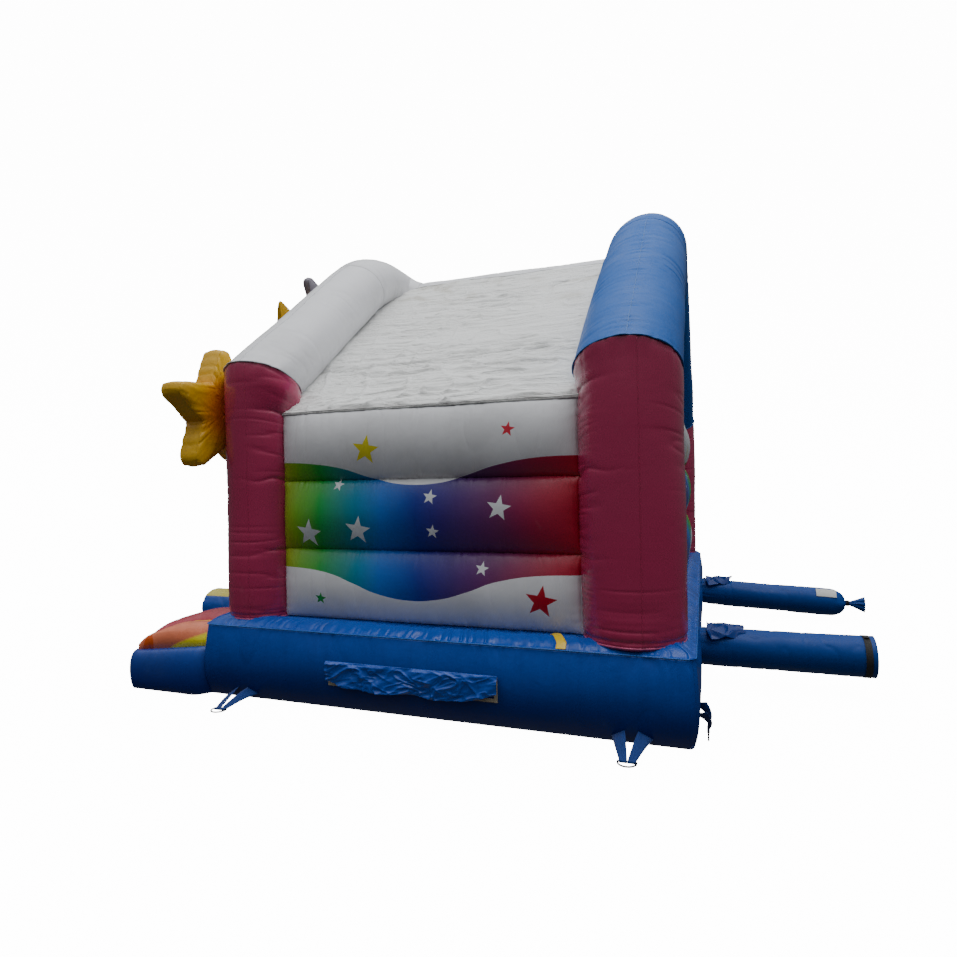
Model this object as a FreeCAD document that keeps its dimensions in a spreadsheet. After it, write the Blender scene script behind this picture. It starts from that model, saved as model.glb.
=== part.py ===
"""Inflatable bounce house: a blue air bed with an entrance ramp, four pink columns,
a white front gable, a blue back arch, a ridge tube with two roof sheets, three-chamber
walls, star decorations, two blower sleeves, a deflation zip and ground anchors.

Millimetres, +Z up. The entrance faces -Y. The origin is the middle of the bed's underside.
Every inflated chamber is a closed hollow skin."""

import FreeCAD
import Part
import math
import os

DRIVING = {
    "skin": 8, "web_thick": 3, "seam_gap": 1,
    "bed_half_x": 2445, "bed_half_y": 1680, "bed_edge_z": 500, "bed_crown_z": 540,
    "side_bulge": 45, "crown_half_x": 2400, "crown_half_y": 1650,
    "baffle_count": 8, "baffle_thick": 4, "air_hole_radius": 60,
    "ramp_depth": 720, "ramp_front_z": 300, "ramp_back_z": 492, "ramp_corner": 150,
    "ramp_sheet_thick": 8, "bolster_x": 1680, "bolster_radius": 155, "bolster_z": 450,
    "bolster_front_y": -2335,
    "column_x": 2140, "front_y": -1386, "back_y": 1320,
    "front_radius": 254, "back_radius": 315,
    "front_eave_z": 2257, "back_eave_z": 2150, "rafter_slope": 37.3,
    "front_crown_bend": 1214, "back_crown_bend": 949, "eave_baffle_thick": 4,
    "ridge_radius": 190, "ridge_z": 3365, "ridge_end": 150, "roof_thick": 6,
    "wall_outer_x": 2204, "wall_inner_x": 1916, "wall_bulge": 75, "wall_inner_bulge": 60,
    "back_wall_outer_y": 1520, "back_wall_inner_y": 1260,
    "star_thick": 210, "star_radius": 474, "star_x": 2190, "star_z": 2044,
    "star_valley": 0.52, "star_blunt": 6, "star_skin": 2.2,
    "silver_radius": 420, "silver_x": 780, "silver_z": 3100,
    "gold_radius": 460, "gold_x": 1100, "gold_z": 2780,
    "gable_star_thick": 110, "gable_star_lean": 49,
    "sleeve_x": 1200, "sleeve_radius": 137, "sleeve_skin": 5, "sleeve_start_y": 1727,
    "open_sleeve_z": 262, "open_sleeve_length": 1060,
    "tied_sleeve_z": 238, "tied_sleeve_drop": 3, "tied_sleeve_length": 1325,
    "tied_neck_radius": 26, "tied_end_length": 115, "tail_length": 130, "tail_radius": 85,
    "strap_wide": 40, "strap_tail": 60, "strap_inset": 70, "fit_gap": 0.5,
    "flap_thick": 3, "hood_long": 270, "hood_wide": 300,
    "anchor_y": 1330, "anchor_reach": 240, "anchor_spread": 85, "web_wide": 42,
    "ring_radius": 49, "ring_wire": 5, "ring_leg": 10, "ring_pin_z": 9.5,
    "back_anchor_x": 2280, "back_anchor_y": 1735, "back_pin_z": 70, "back_root_z": 165,
    "zip_x": 2491, "zip_middle_y": -30, "zip_length": 1170, "zip_low_z": 172,
    "zip_high_z": 322, "zip_tape": 22, "zip_gap": 14,
    "slider_long": 26, "slider_wide": 18, "slider_thick": 8, "slider_start_y": -560,
    "pull_long": 42, "pull_wide": 10, "pull_thick": 2, "pull_pin": 2,
    "cover_x": 2514, "cover_high_z": 338, "cover_low_z": 170, "cover_length": 1180,
    "tab_y": 930, "tab_wide": 60, "tab_thick": 2, "tab_long": 110,
    "label_y": 2873, "label_long": 180, "label_high": 100, "label_thick": 1,
}

SIDE_SEAMS = (540, 1030, 1518, 1983)
BACK_SEAMS = (540, 1070, 1580, 2080)
CHAMBERS = ("low", "middle", "top")
SIDES = (("right", 1), ("left", -1))

doc = FreeCAD.newDocument("bounce_house")
dims = doc.addObject("Spreadsheet::Sheet", "dims")
for row, (alias, value) in enumerate(DRIVING.items(), start=1):
    dims.set(f"A{row}", alias)
    dims.set(f"B{row}", str(value))
    dims.setAlias(f"B{row}", alias)
doc.recompute()

subparts = []


def size(alias):
    """A driving dimension, read back from the sheet."""
    return float(dims.get(alias))


def vec(x, y, z):
    return FreeCAD.Vector(x, y, z)


def bind(item, **expressions):
    """Binds properties to sheet expressions; x, y and z mean the placement's base."""
    for prop, expression in expressions.items():
        if prop in ("x", "y", "z"):
            prop = ".Placement.Base." + prop
        item.setExpression(prop, str(expression))
    return item


def turn(item, axis, degrees):
    base = item.Placement.Base
    item.Placement = FreeCAD.Placement(base, FreeCAD.Rotation(axis, degrees))
    return item


def keep(item, label):
    """Marks an object as a sub-part that is written to its own file."""
    item.Label = label
    subparts.append(item)
    return item


def add(kind, name, **expressions):
    return bind(doc.addObject(kind, name), **expressions)


def cut(name, base, tool):
    result = doc.addObject("Part::Cut", name)
    result.Base = base
    result.Tool = tool
    return result


def feature(label, shape):
    """A sub-part whose shape is made from sheet values by Part's own functions."""
    item = doc.addObject("Part::Feature", label)
    item.Shape = shape
    return keep(item, label)


def plate(points, direction):
    """A closed polygon of points, extruded along a direction."""
    return Part.Face(Part.makePolygon(points + [points[0]])).extrude(direction)


# ---------------------------------------------------------------- air bed

def bed_sheets():
    """The flat underside and the crowned jumping sheet."""
    underside = add("Part::Box", "underside", Length="2 * dims.bed_half_x",
                    Width="2 * dims.bed_half_y", Height="dims.skin",
                    x="-dims.bed_half_x", y="-dims.bed_half_y", z="0")
    keep(underside, "bed_underside")
    skin = size("skin")

    def frustum(drop):
        half_x = size("bed_half_x")
        half_y = size("bed_half_y")
        crown_x = size("crown_half_x")
        crown_y = size("crown_half_y")
        low = size("bed_edge_z") - drop
        high = size("bed_crown_z") - drop
        wires = []
        for wide, deep, level in ((half_x, half_y, low), (crown_x, crown_y, high)):
            corners = [vec(-wide, -deep, level), vec(wide, -deep, level),
                       vec(wide, deep, level), vec(-wide, deep, level)]
            wires.append(Part.makePolygon(corners + [corners[0]]))
        return Part.makeLoft(wires, True, True)

    top = frustum(0)
    rim = Part.makeBox(2 * size("bed_half_x"), 2 * size("bed_half_y"), skin,
                       vec(-size("bed_half_x"), -size("bed_half_y"), size("bed_edge_z") - skin))
    sheet = top.fuse(rim).cut(frustum(skin)).removeSplitter()
    feature("jumping_bed_sheet", sheet)


def bed_sides():
    """Four side panels; the free ones bulge outward."""
    skin = size("skin")
    low = skin
    high = size("bed_edge_z") - skin
    middle = (low + high) / 2

    def panel(face_at, bulge):
        """Section in x and z: an outer arc and a parallel inner one."""
        outer = Part.Arc(vec(face_at, 0, low), vec(face_at + bulge, 0, middle),
                         vec(face_at, 0, high)).toShape()
        inner = Part.Arc(vec(face_at - skin, 0, high), vec(face_at + bulge - skin, 0, middle),
                         vec(face_at - skin, 0, low)).toShape()
        across_top = Part.LineSegment(vec(face_at, 0, high), vec(face_at - skin, 0, high)).toShape()
        across_low = Part.LineSegment(vec(face_at - skin, 0, low), vec(face_at, 0, low)).toShape()
        return Part.Face(Part.Wire([outer, across_top, inner, across_low]))

    half_y = size("bed_half_y")
    bulge = size("side_bulge")
    side = panel(size("bed_half_x"), bulge)
    side.translate(vec(0, -half_y, 0))
    side = side.extrude(vec(0, 2 * half_y, 0))
    feature("bed_side_right", side)
    feature("bed_side_left", side.mirror(vec(0, 0, 0), vec(1, 0, 0)))

    length = 2 * (size("bed_half_x") - skin)
    end = panel(half_y, bulge)
    end.rotate(vec(0, 0, 0), vec(0, 0, 1), 90)
    end.translate(vec(-length / 2, 0, 0))
    feature("bed_side_back", end.extrude(vec(length, 0, 0)))
    front = add("Part::Box", "front_panel", Length="2 * (dims.bed_half_x - dims.skin)",
                Width="dims.skin", Height="dims.bed_edge_z - 2 * dims.skin",
                x="dims.skin - dims.bed_half_x", y="-dims.bed_half_y", z="dims.skin")
    keep(front, "bed_side_front")


def bed_baffles():
    """Upright strips inside the bed, with air holes, that hold the sheets parallel."""
    count = int(size("baffle_count"))
    pitch = 2 * size("bed_half_x") / (count + 1)
    low = size("skin")
    high = size("bed_crown_z") - size("skin")
    end_gap = 60
    length = 2 * (size("bed_half_y") - end_gap)
    strips = []
    for index in range(count):
        x = -size("bed_half_x") + pitch * (index + 1)
        strip = Part.makeBox(size("baffle_thick"), length, high - low,
                             vec(x - size("baffle_thick") / 2, -length / 2, low))
        for side in (-1, 0, 1):
            hole = Part.makeCylinder(size("air_hole_radius"), 4 * size("baffle_thick"),
                                     vec(x - 2 * size("baffle_thick"), side * length / 3,
                                         (low + high) / 2), vec(1, 0, 0))
            strip = strip.cut(hole)
        strips.append(strip)
    feature("bed_baffles", Part.makeCompound(strips))


# ---------------------------------------------------------------- ramp

def ramp_block(inset, drop):
    """The ramp's wedge, smaller by an inset all round and lower by a drop."""
    front = -size("bed_half_y") - size("ramp_depth") + inset
    back = -size("bed_half_y") - inset
    half = size("bed_half_x") - inset
    slope = (size("ramp_back_z") - size("ramp_front_z")) / size("ramp_depth")
    front_z = size("ramp_front_z") - drop + slope * inset
    back_z = size("ramp_back_z") - drop - slope * inset
    profile = [vec(-half, front, inset), vec(-half, front, front_z),
               vec(-half, back, back_z), vec(-half, back, inset)]
    block = plate(profile, vec(2 * half, 0, 0))
    uprights = [edge for edge in block.Edges
                if abs(edge.BoundBox.YMax - front) < 0.1 and edge.BoundBox.ZLength > 50]
    return block.makeFillet(size("ramp_corner") - inset, uprights)


def bolster_tool(extra):
    """The bolsters' outline, larger by extra, as one tool for both sides."""
    radius = size("bolster_radius") + extra
    front = size("bolster_front_y") - extra
    tools = []
    for side in (-1, 1):
        tools.append(Part.makeCylinder(radius, -size("bed_half_y") - front + extra,
                                       vec(side * size("bolster_x"), front, size("bolster_z")),
                                       vec(0, 1, 0)))
    return tools


def ramp():
    """A closed wedge, its printed top sheet and the two bolsters beside the entrance."""
    skin = size("skin")
    thick = size("ramp_sheet_thick")
    body = ramp_block(0, thick)
    inside = ramp_block(skin, thick + skin)
    sheet = ramp_block(0, 0).cut(body)
    for tool in bolster_tool(size("seam_gap")):
        body = body.cut(tool)
        sheet = sheet.cut(tool)
    for tool in bolster_tool(size("seam_gap") + skin):
        inside = inside.cut(tool)
    feature("ramp_skin", body.cut(inside))
    feature("ramp_top_sheet", sheet)
    for name, side in SIDES:
        outer = add("Part::Cylinder", "bolster_outer_" + name, Radius="dims.bolster_radius",
                    Height="-dims.bed_half_y - dims.bolster_front_y",
                    x=f"{side} * dims.bolster_x", y="-dims.bed_half_y", z="dims.bolster_z")
        inner = add("Part::Cylinder", "bolster_inner_" + name,
                    Radius="dims.bolster_radius - dims.skin",
                    Height="-dims.bed_half_y - dims.bolster_front_y - 2 * dims.skin",
                    x=f"{side} * dims.bolster_x", y="-dims.bed_half_y - dims.skin",
                    z="dims.bolster_z")
        for item in (outer, inner):
            turn(item, vec(1, 0, 0), 90)
        keep(cut("bolster_" + name, outer, inner), "ramp_bolster_" + name)


# ---------------------------------------------------------------- columns and beams

def mitred_tube(label, radius, length, lean):
    """A closed hollow tube along its own Z, square at 0 and mitred at its length.

    lean is +1 or -1: the side of the tube, along its own X, that stands higher."""
    half_slope = f"(90 - dims.rafter_slope) / 2 * {lean}"
    block_size = 2000
    any_angle = 10  # only gives the turn its axis; the expression sets the angle
    shells = []
    for layer, grow in (("outer", "0"), ("inner", "dims.skin")):
        tube = add("Part::Cylinder", f"{label}_{layer}", Radius=f"{radius} - {grow}",
                   Height=f"{length} + dims.back_radius", z=grow)
        block = add("Part::Box", f"{label}_{layer}_mitre")
        block.Length = block_size
        block.Width = block_size
        block.Height = block_size
        turn(block, vec(0, 1, 0), any_angle)
        block.setExpression(".Placement.Rotation.Angle", f"-{half_slope}")
        bind(block, x=f"-{block_size / 2} * cos({half_slope})", y=f"-{block_size / 2}",
             z=f"{length} - {grow} - {block_size / 2} * sin({half_slope})")
        shells.append(cut(f"{label}_{layer}_cut", tube, block))
    return cut(label, *shells)


def columns():
    """Four columns that stand on the bed and end in the eave mitre."""
    for end in ("front", "back"):
        for name, side in SIDES:
            length = f"(dims.{end}_eave_z - dims.bed_crown_z - dims.eave_baffle_thick)"
            tube = mitred_tube(f"column_{end}_{name}", f"dims.{end}_radius", length, 1)
            if side < 0:
                turn(tube, vec(0, 0, 1), 180)
            bind(tube, x=f"{side} * dims.column_x", y=f"dims.{end}_y", z="dims.bed_crown_z")
            keep(tube, f"column_{end}_{name}")


def rafters():
    """Straight tubes from the eave mitre up to where the crown's bend starts."""
    slope = size("rafter_slope")
    for end in ("front", "back"):
        run = f"(dims.column_x - dims.{end}_crown_bend * sin(dims.rafter_slope))"
        for name, side in SIDES:
            tube = mitred_tube(f"rafter_{end}_{name}", f"dims.{end}_radius",
                               f"({run} / cos(dims.rafter_slope))", -1)
            down = FreeCAD.Rotation(vec(0, 1, 0), 90 + slope)
            if side < 0:
                down = FreeCAD.Rotation(vec(0, 0, 1), 180).multiply(down)
            tube.Placement = FreeCAD.Placement(vec(0, 0, 0), down)
            bind(tube, x=f"{side} * dims.{end}_crown_bend * sin(dims.rafter_slope)",
                 y=f"dims.{end}_y",
                 z=f"dims.{end}_eave_z + {run} * tan(dims.rafter_slope)")
            keep(tube, f"rafter_{end}_{name}")


def crown_height(end):
    """Height of the crown's bend centre."""
    slope = math.radians(size("rafter_slope"))
    bend = size(f"{end}_crown_bend")
    run = size("column_x") - bend * math.sin(slope)
    return size(f"{end}_eave_z") + run * math.tan(slope) - bend * math.cos(slope)


def crowns():
    """The bent top of the front gable and of the back arch: closed arcs of tube."""
    for end in ("front", "back"):
        end_angle = f"dims.skin / dims.{end}_crown_bend * 180 / pi"
        layers = []
        for layer, grow, trim in (("outer", "0", "0"), ("inner", "dims.skin", end_angle)):
            arc = add("Part::Torus", f"crown_{end}_{layer}", Radius1=f"dims.{end}_crown_bend",
                      Radius2=f"dims.{end}_radius - {grow}",
                      Angle3=f"2 * (dims.rafter_slope - {trim})")
            start = size("rafter_slope")
            if layer == "inner":
                start -= math.degrees(size("skin") / size(f"{end}_crown_bend"))
            upright = FreeCAD.Rotation(vec(1, 0, 0), 90)
            arc.Placement = FreeCAD.Placement(
                vec(0, 0, 0), upright.multiply(FreeCAD.Rotation(vec(0, 0, 1), 90 - start)))
            bind(arc, y=f"dims.{end}_y", z=crown_height(end))
            layers.append(arc)
        keep(cut(f"crown_{end}", *layers), f"crown_{end}")


def eave_baffles():
    """Thin diaphragms with an air hole, between each column and its rafter."""
    discs = []
    tilt = (90 - size("rafter_slope")) / 2
    thick = size("eave_baffle_thick")
    slot = thick * math.cos(math.radians(tilt))
    gap = 0.2
    for end in ("front", "back"):
        radius = size(f"{end}_radius") - 2 * size("skin")
        for _, side in SIDES:
            disc = Part.makeCylinder(radius, slot - 2 * gap, vec(0, 0, gap))
            disc = disc.cut(Part.makeCylinder(size("air_hole_radius"), slot, vec(0, 0, 0)))
            disc.rotate(vec(0, 0, 0), vec(0, 1, 0), -tilt * side)
            disc.translate(vec(side * size("column_x"), size(f"{end}_y"),
                               size(f"{end}_eave_z") - thick))
            discs.append(disc)
    feature("eave_baffles", Part.makeCompound(discs))


def beam_tools(extra):
    """Solid outlines of columns, rafters and crowns, larger by extra, used as cutters."""
    tools = []
    slope = math.radians(size("rafter_slope"))
    for end in ("front", "back"):
        radius = size(f"{end}_radius") + extra
        y = size(f"{end}_y")
        bend = size(f"{end}_crown_bend")
        eave = size(f"{end}_eave_z")
        for _, side in SIDES:
            tools.append(Part.makeCylinder(radius, eave - size("bed_crown_z"),
                                           vec(side * size("column_x"), y, size("bed_crown_z"))))
            foot = vec(side * size("column_x"), y, eave)
            run = size("column_x") - bend * math.sin(slope)
            tools.append(Part.makeSphere(radius, foot))
            tools.append(Part.makeCylinder(radius, run / math.cos(slope), foot,
                                           vec(-side * math.cos(slope), 0, math.sin(slope))))
        crown = Part.makeTorus(bend, radius, vec(0, 0, 0), vec(0, 0, 1), 0, 360,
                               2 * size("rafter_slope"))
        crown.rotate(vec(0, 0, 0), vec(0, 0, 1), 90 - size("rafter_slope"))
        crown.rotate(vec(0, 0, 0), vec(1, 0, 0), 90)
        crown.translate(vec(0, y, crown_height(end)))
        tools.append(crown)
    return tools


def cut_clear(shape, extra):
    """Cuts a shape clear of every column and beam that it meets."""
    for tool in beam_tools(extra):
        if shape.BoundBox.intersect(tool.BoundBox):
            shape = shape.cut(tool)
    return max(shape.Solids, key=lambda solid: solid.Volume)


# ---------------------------------------------------------------- roof

def ridge():
    """The ridge tube between the front and back crowns."""
    span = size("back_y") - size("front_y")

    def tube(shrink):
        inset = size("ridge_end") + shrink
        start = vec(0, size("front_y") + inset, size("ridge_z"))
        return Part.makeCylinder(size("ridge_radius") - shrink, span - 2 * inset, start,
                                 vec(0, 1, 0))

    skin = size("skin")
    gap = size("seam_gap")
    outer = cut_clear(tube(0), gap)
    inner = cut_clear(tube(skin), gap + skin)
    feature("ridge_tube", outer.cut(inner))


def roof_sheets():
    """Two stretched sheets from the ridge tube down to the side walls' top seams."""
    gap = size("seam_gap")
    eave = (size("wall_outer_x"), SIDE_SEAMS[-1] + gap)
    slope = math.radians(size("rafter_slope"))
    reach = size("ridge_radius") + gap
    top = (reach * math.sin(slope), size("ridge_z") + reach * math.cos(slope))
    run = math.hypot(eave[0] - top[0], top[1] - eave[1])
    out = ((top[1] - eave[1]) / run, (eave[0] - top[0]) / run)
    thick = size("roof_thick")
    edge_inset = 120
    for name, side in SIDES:
        section = [(eave[0], eave[1]), (top[0], top[1]),
                   (top[0] + out[0] * thick, top[1] + out[1] * thick),
                   (eave[0] + out[0] * thick, eave[1] + out[1] * thick)]
        front = size("front_y") + edge_inset
        points = [vec(side * x, front, z) for x, z in section]
        sheet = plate(points, vec(0, size("back_y") - edge_inset - front, 0))
        feature("roof_sheet_" + name, cut_clear(sheet, 2 * gap))


# ---------------------------------------------------------------- walls

def wall_section(outer, inner, bulge_out, bulge_in, low, high, inset):
    """One chamber's section: flat top and bottom, arcs outside and inside."""
    outer -= inset
    inner += inset
    low += inset
    high -= inset
    middle = (low + high) / 2
    edges = [
        Part.LineSegment(vec(inner, 0, low), vec(outer, 0, low)),
        Part.Arc(vec(outer, 0, low), vec(outer + bulge_out, 0, middle), vec(outer, 0, high)),
        Part.LineSegment(vec(outer, 0, high), vec(inner, 0, high)),
        Part.Arc(vec(inner, 0, high), vec(inner - bulge_in, 0, middle), vec(inner, 0, low)),
    ]
    return Part.Face(Part.Wire([edge.toShape() for edge in edges]))


def chamber(section, start, length, gap):
    section.translate(vec(0, start, 0))
    return cut_clear(section.extrude(vec(0, length, 0)), gap)


def walls():
    """Three stacked chambers on each side and across the back."""
    skin = size("skin")
    gap = size("seam_gap")
    bulge_out = size("wall_bulge")
    bulge_in = size("wall_inner_bulge")
    front = size("front_y")
    length = size("back_y") - front
    for index, name in enumerate(CHAMBERS):
        low, high = SIDE_SEAMS[index], SIDE_SEAMS[index + 1]
        shapes = []
        for inset in (0, skin):
            section = wall_section(size("wall_outer_x"), size("wall_inner_x"), bulge_out,
                                   bulge_in, low, high, inset)
            shapes.append(chamber(section, front, length, gap + inset))
        tube = shapes[0].cut(shapes[1])
        feature(f"side_wall_right_{name}", tube)
        feature(f"side_wall_left_{name}", tube.mirror(vec(0, 0, 0), vec(1, 0, 0)))

        low, high = BACK_SEAMS[index], BACK_SEAMS[index + 1]
        shapes = []
        for inset in (0, skin):
            section = wall_section(size("back_wall_outer_y"), size("back_wall_inner_y"),
                                   bulge_out, bulge_in, low, high, inset)
            section.rotate(vec(0, 0, 0), vec(0, 0, 1), 90)
            section.translate(vec(-size("column_x"), 0, 0))
            block = section.extrude(vec(2 * size("column_x"), 0, 0))
            shapes.append(cut_clear(block, gap + inset))
        feature(f"back_wall_{name}", shapes[0].cut(shapes[1]))


# ---------------------------------------------------------------- decorations

def star_shape(radius, thick, lean):
    """A blunt five-pointed star in the XZ plane, thick along -Y, hollow inside."""
    blunt = math.radians(size("star_blunt"))
    valley_reach = size("star_valley") * radius

    def solid(scale, depth, start):
        points = []
        for index in range(5):
            tip = math.radians(72 * index + lean)
            valley = math.radians(72 * index + 36 + lean)
            for angle, reach in ((tip - blunt, radius), (tip + blunt, radius),
                                 (valley, valley_reach)):
                points.append(vec(scale * reach * math.sin(angle), start,
                                  scale * reach * math.cos(angle)))
        return plate(points, vec(0, -depth, 0))

    skin = size("skin")
    outer = solid(1, thick, 0)
    inner_scale = 1 - size("star_skin") * skin / valley_reach
    inner = solid(inner_scale, thick - 2 * skin, -skin)
    return outer.cut(inner)


def stars():
    """A gold star on each front column, a silver and a gold one on the front gable."""
    front_face = size("front_y") - size("front_radius") - size("seam_gap")
    for name, side in SIDES:
        star = star_shape(size("star_radius"), size("star_thick"), 0)
        star.translate(vec(side * size("star_x"), front_face, size("star_z")))
        feature("column_star_" + name, star)
    depth = size("gable_star_thick")
    for name, place in (("silver", 0), ("gold", 1)):
        star = star_shape(size(name + "_radius"), depth, size("gable_star_lean"))
        star.translate(vec(size(name + "_x"), front_face - place * (depth + 1),
                           size(name + "_z")))
        feature("gable_star_" + name, star)


# ---------------------------------------------------------------- sleeves at the back

def open_sleeve():
    """The blower's sleeve: an open tube with a webbing strap round its mouth."""
    outer = add("Part::Cylinder", "open_sleeve_outer", Radius="dims.sleeve_radius",
                Height="dims.open_sleeve_length", x="dims.sleeve_x",
                y="dims.sleeve_start_y + dims.open_sleeve_length", z="dims.open_sleeve_z")
    inner = add("Part::Cylinder", "open_sleeve_inner",
                Radius="dims.sleeve_radius - dims.sleeve_skin",
                Height="dims.open_sleeve_length", x="dims.sleeve_x",
                y="dims.sleeve_start_y + dims.open_sleeve_length", z="dims.open_sleeve_z")
    for item in (outer, inner):
        turn(item, vec(1, 0, 0), 90)
    keep(cut("open_sleeve", outer, inner), "blower_sleeve")
    middle = size("sleeve_start_y") + size("open_sleeve_length") - size("strap_inset")
    radius = size("sleeve_radius") + size("fit_gap")
    centre = vec(size("sleeve_x"), middle, size("open_sleeve_z"))
    strap = Part.makeCylinder(radius + size("web_thick"), size("strap_wide"), centre, vec(0, 1, 0))
    strap = strap.cut(Part.makeCylinder(radius, size("strap_wide"), centre, vec(0, 1, 0)))
    side_gap = 4
    sink = 1.5
    tail = Part.makeBox(size("strap_tail"), size("strap_wide") - 2 * side_gap, size("web_thick"),
                        centre + vec(0, side_gap, radius + size("web_thick") - sink))
    feature("blower_sleeve_strap", strap.fuse(tail))


def tied_sleeve():
    """The spare sleeve: closed, gathered and tied, with a flared tail past the tie."""
    long = size("tied_sleeve_length")
    end = size("tied_end_length")
    neck = size("tied_neck_radius")

    def turned(inset):
        radius = size("sleeve_radius") - inset
        neck_radius = max(neck - inset, 2)
        points = [vec(0, 0, inset), vec(radius, 0, inset), vec(radius, 0, long - end)]
        edges = [Part.LineSegment(points[0], points[1]), Part.LineSegment(points[1], points[2])]
        shoulder = vec(radius - 0.25 * (radius - neck_radius), 0, long - 0.35 * end)
        close = vec(neck_radius, 0, long - inset)
        edges.append(Part.Arc(points[2], shoulder, close))
        edges.append(Part.LineSegment(close, vec(0, 0, long - inset)))
        edges.append(Part.LineSegment(vec(0, 0, long - inset), points[0]))
        face = Part.Face(Part.Wire([edge.toShape() for edge in edges]))
        return face.revolve(vec(0, 0, 0), vec(0, 0, 1), 360)

    def along(shape):
        shape.rotate(vec(0, 0, 0), vec(1, 0, 0), -90 - size("tied_sleeve_drop"))
        shape.translate(vec(-size("sleeve_x"), size("sleeve_start_y") + 8, size("tied_sleeve_z")))
        return shape

    feature("spare_sleeve", along(turned(0).cut(turned(size("sleeve_skin")))))
    start = long + size("seam_gap")
    tail = Part.makeCone(neck, size("tail_radius"), size("tail_length"),
                         vec(0, 0, start + size("strap_wide")))
    stem = Part.makeCylinder(neck, size("strap_wide"), vec(0, 0, start))
    feature("spare_sleeve_tail", along(stem.fuse(tail)))
    inset = 5
    tie_wide = size("strap_wide") - 2 * inset
    hole = neck + size("fit_gap")
    base = vec(0, 0, start + inset)
    ring = Part.makeCylinder(hole + size("web_thick"), tie_wide, base)
    ring = ring.cut(Part.makeCylinder(hole, tie_wide, base))
    feature("spare_sleeve_tie", along(ring))


def sleeve_label():
    """A blank label curved round the spare sleeve's outer side."""
    radius = size("sleeve_radius") + size("fit_gap")
    shell = Part.makeCylinder(radius + size("label_thick"), size("label_long"))
    shell = shell.cut(Part.makeCylinder(radius, size("label_long")))
    half = math.degrees(size("label_high") / radius) / 2
    wedge = Part.makeCylinder(2 * radius, size("label_long"), vec(0, 0, 0), vec(0, 0, 1), 2 * half)
    wedge.rotate(vec(0, 0, 0), vec(0, 0, 1), -half + 50)
    label = shell.common(wedge)
    label.rotate(vec(0, 0, 0), vec(1, 0, 0), -90 - size("tied_sleeve_drop"))
    label = label.mirror(vec(0, 0, 0), vec(0, 0, 1))
    label.rotate(vec(0, 0, 0), vec(1, 0, 0), -2 * size("tied_sleeve_drop"))
    down = math.tan(math.radians(size("tied_sleeve_drop")))
    along_y = size("label_y") - size("label_long") / 2
    drop = down * (along_y - size("sleeve_start_y") - 8)
    label.translate(vec(-size("sleeve_x"), along_y, size("tied_sleeve_z") - drop))
    feature("sleeve_label", label)


def sleeve_hoods():
    """Loose flaps, hinged on the bed's back seam, that lie over the sleeves' roots."""
    thick = size("flap_thick")
    clear = 6
    for name, side, height in (("right", 1, size("open_sleeve_z")),
                               ("left", -1, size("tied_sleeve_z"))):
        x = side * size("sleeve_x") - size("hood_wide") / 2
        y = size("sleeve_start_y") + 8
        z = height + size("sleeve_radius") + clear
        sheet = Part.makeBox(size("hood_wide"), size("hood_long"), thick, vec(x, y, z))
        feature("sleeve_hood_" + name, sheet)


# ---------------------------------------------------------------- anchors

def ring_shape():
    """A D-ring in the XY plane: its straight pin along Y at x 0, its bow towards +X."""
    wire = size("ring_wire")
    radius = size("ring_radius")
    leg = size("ring_leg")
    bow = Part.makeTorus(radius, wire, vec(0, 0, 0), vec(0, 0, 1), 0, 360, 180)
    bow.rotate(vec(0, 0, 0), vec(0, 0, 1), -90)
    bow.translate(vec(leg, 0, 0))
    shape = bow.fuse(Part.makeCylinder(wire, 2 * radius, vec(0, -radius, 0), vec(0, 1, 0)))
    for side in (-1, 1):
        corner = vec(0, side * radius, 0)
        shape = shape.fuse(Part.makeCylinder(wire, leg, corner, vec(1, 0, 0)))
        shape = shape.fuse(Part.makeSphere(wire, corner))
    return shape.removeSplitter()


def web_shape(reach):
    """A V of two webbing arms in the XY plane that loop round a pin at x 0."""
    thick = size("web_thick")
    wide = size("web_wide")
    spread = size("anchor_spread")
    clearance = 0.4
    bore = size("ring_wire") + clearance
    arms = []
    for side in (-1, 1):
        near = side * 1
        far = side * (1 + wide)
        root = side * spread
        points = [vec(-reach, root - wide / 2, -thick / 2), vec(-bore, min(near, far), -thick / 2),
                  vec(-bore, max(near, far), -thick / 2), vec(-reach, root + wide / 2, -thick / 2)]
        arm = plate(points, vec(0, 0, thick))
        loop = Part.makeCylinder(bore + thick, wide, vec(0, min(near, far), 0), vec(0, 1, 0))
        loop = arm.fuse(loop)
        loop = loop.cut(Part.makeCylinder(bore, wide + 2, vec(0, min(near, far) - 1, 0),
                                          vec(0, 1, 0)))
        arms.append(loop)
    return arms


def anchors():
    """Six webbing V loops, one node, and a D-ring in each."""
    reach = size("anchor_reach")
    pin_x = size("bed_half_x") + 5 + reach
    webs = []
    for name, side in SIDES:
        for end, y in (("front", -size("anchor_y")), ("rear", size("anchor_y"))):
            for shape in [ring_shape()] + web_shape(reach):
                if side < 0:
                    shape.rotate(vec(0, 0, 0), vec(0, 0, 1), 180)
                shape.translate(vec(side * pin_x, y, size("ring_pin_z")))
                webs.append(shape)
            ring = webs.pop(-3)
            feature(f"anchor_ring_{name}_{end}", ring)
    hang = size("back_root_z") - size("back_pin_z")
    for name, side in SIDES:
        shapes = [ring_shape()] + web_shape(hang)
        for shape in shapes:
            shape.rotate(vec(0, 0, 0), vec(0, 1, 0), 90)
            shape.rotate(vec(0, 0, 0), vec(0, 0, 1), 90)
            shape.translate(vec(side * size("back_anchor_x"), size("back_anchor_y"),
                                size("back_pin_z")))
        feature(f"anchor_ring_{name}_back", shapes[0])
        webs.extend(shapes[1:])
    feature("anchor_webs", Part.makeCompound(webs))


# ---------------------------------------------------------------- zip and trims

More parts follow.
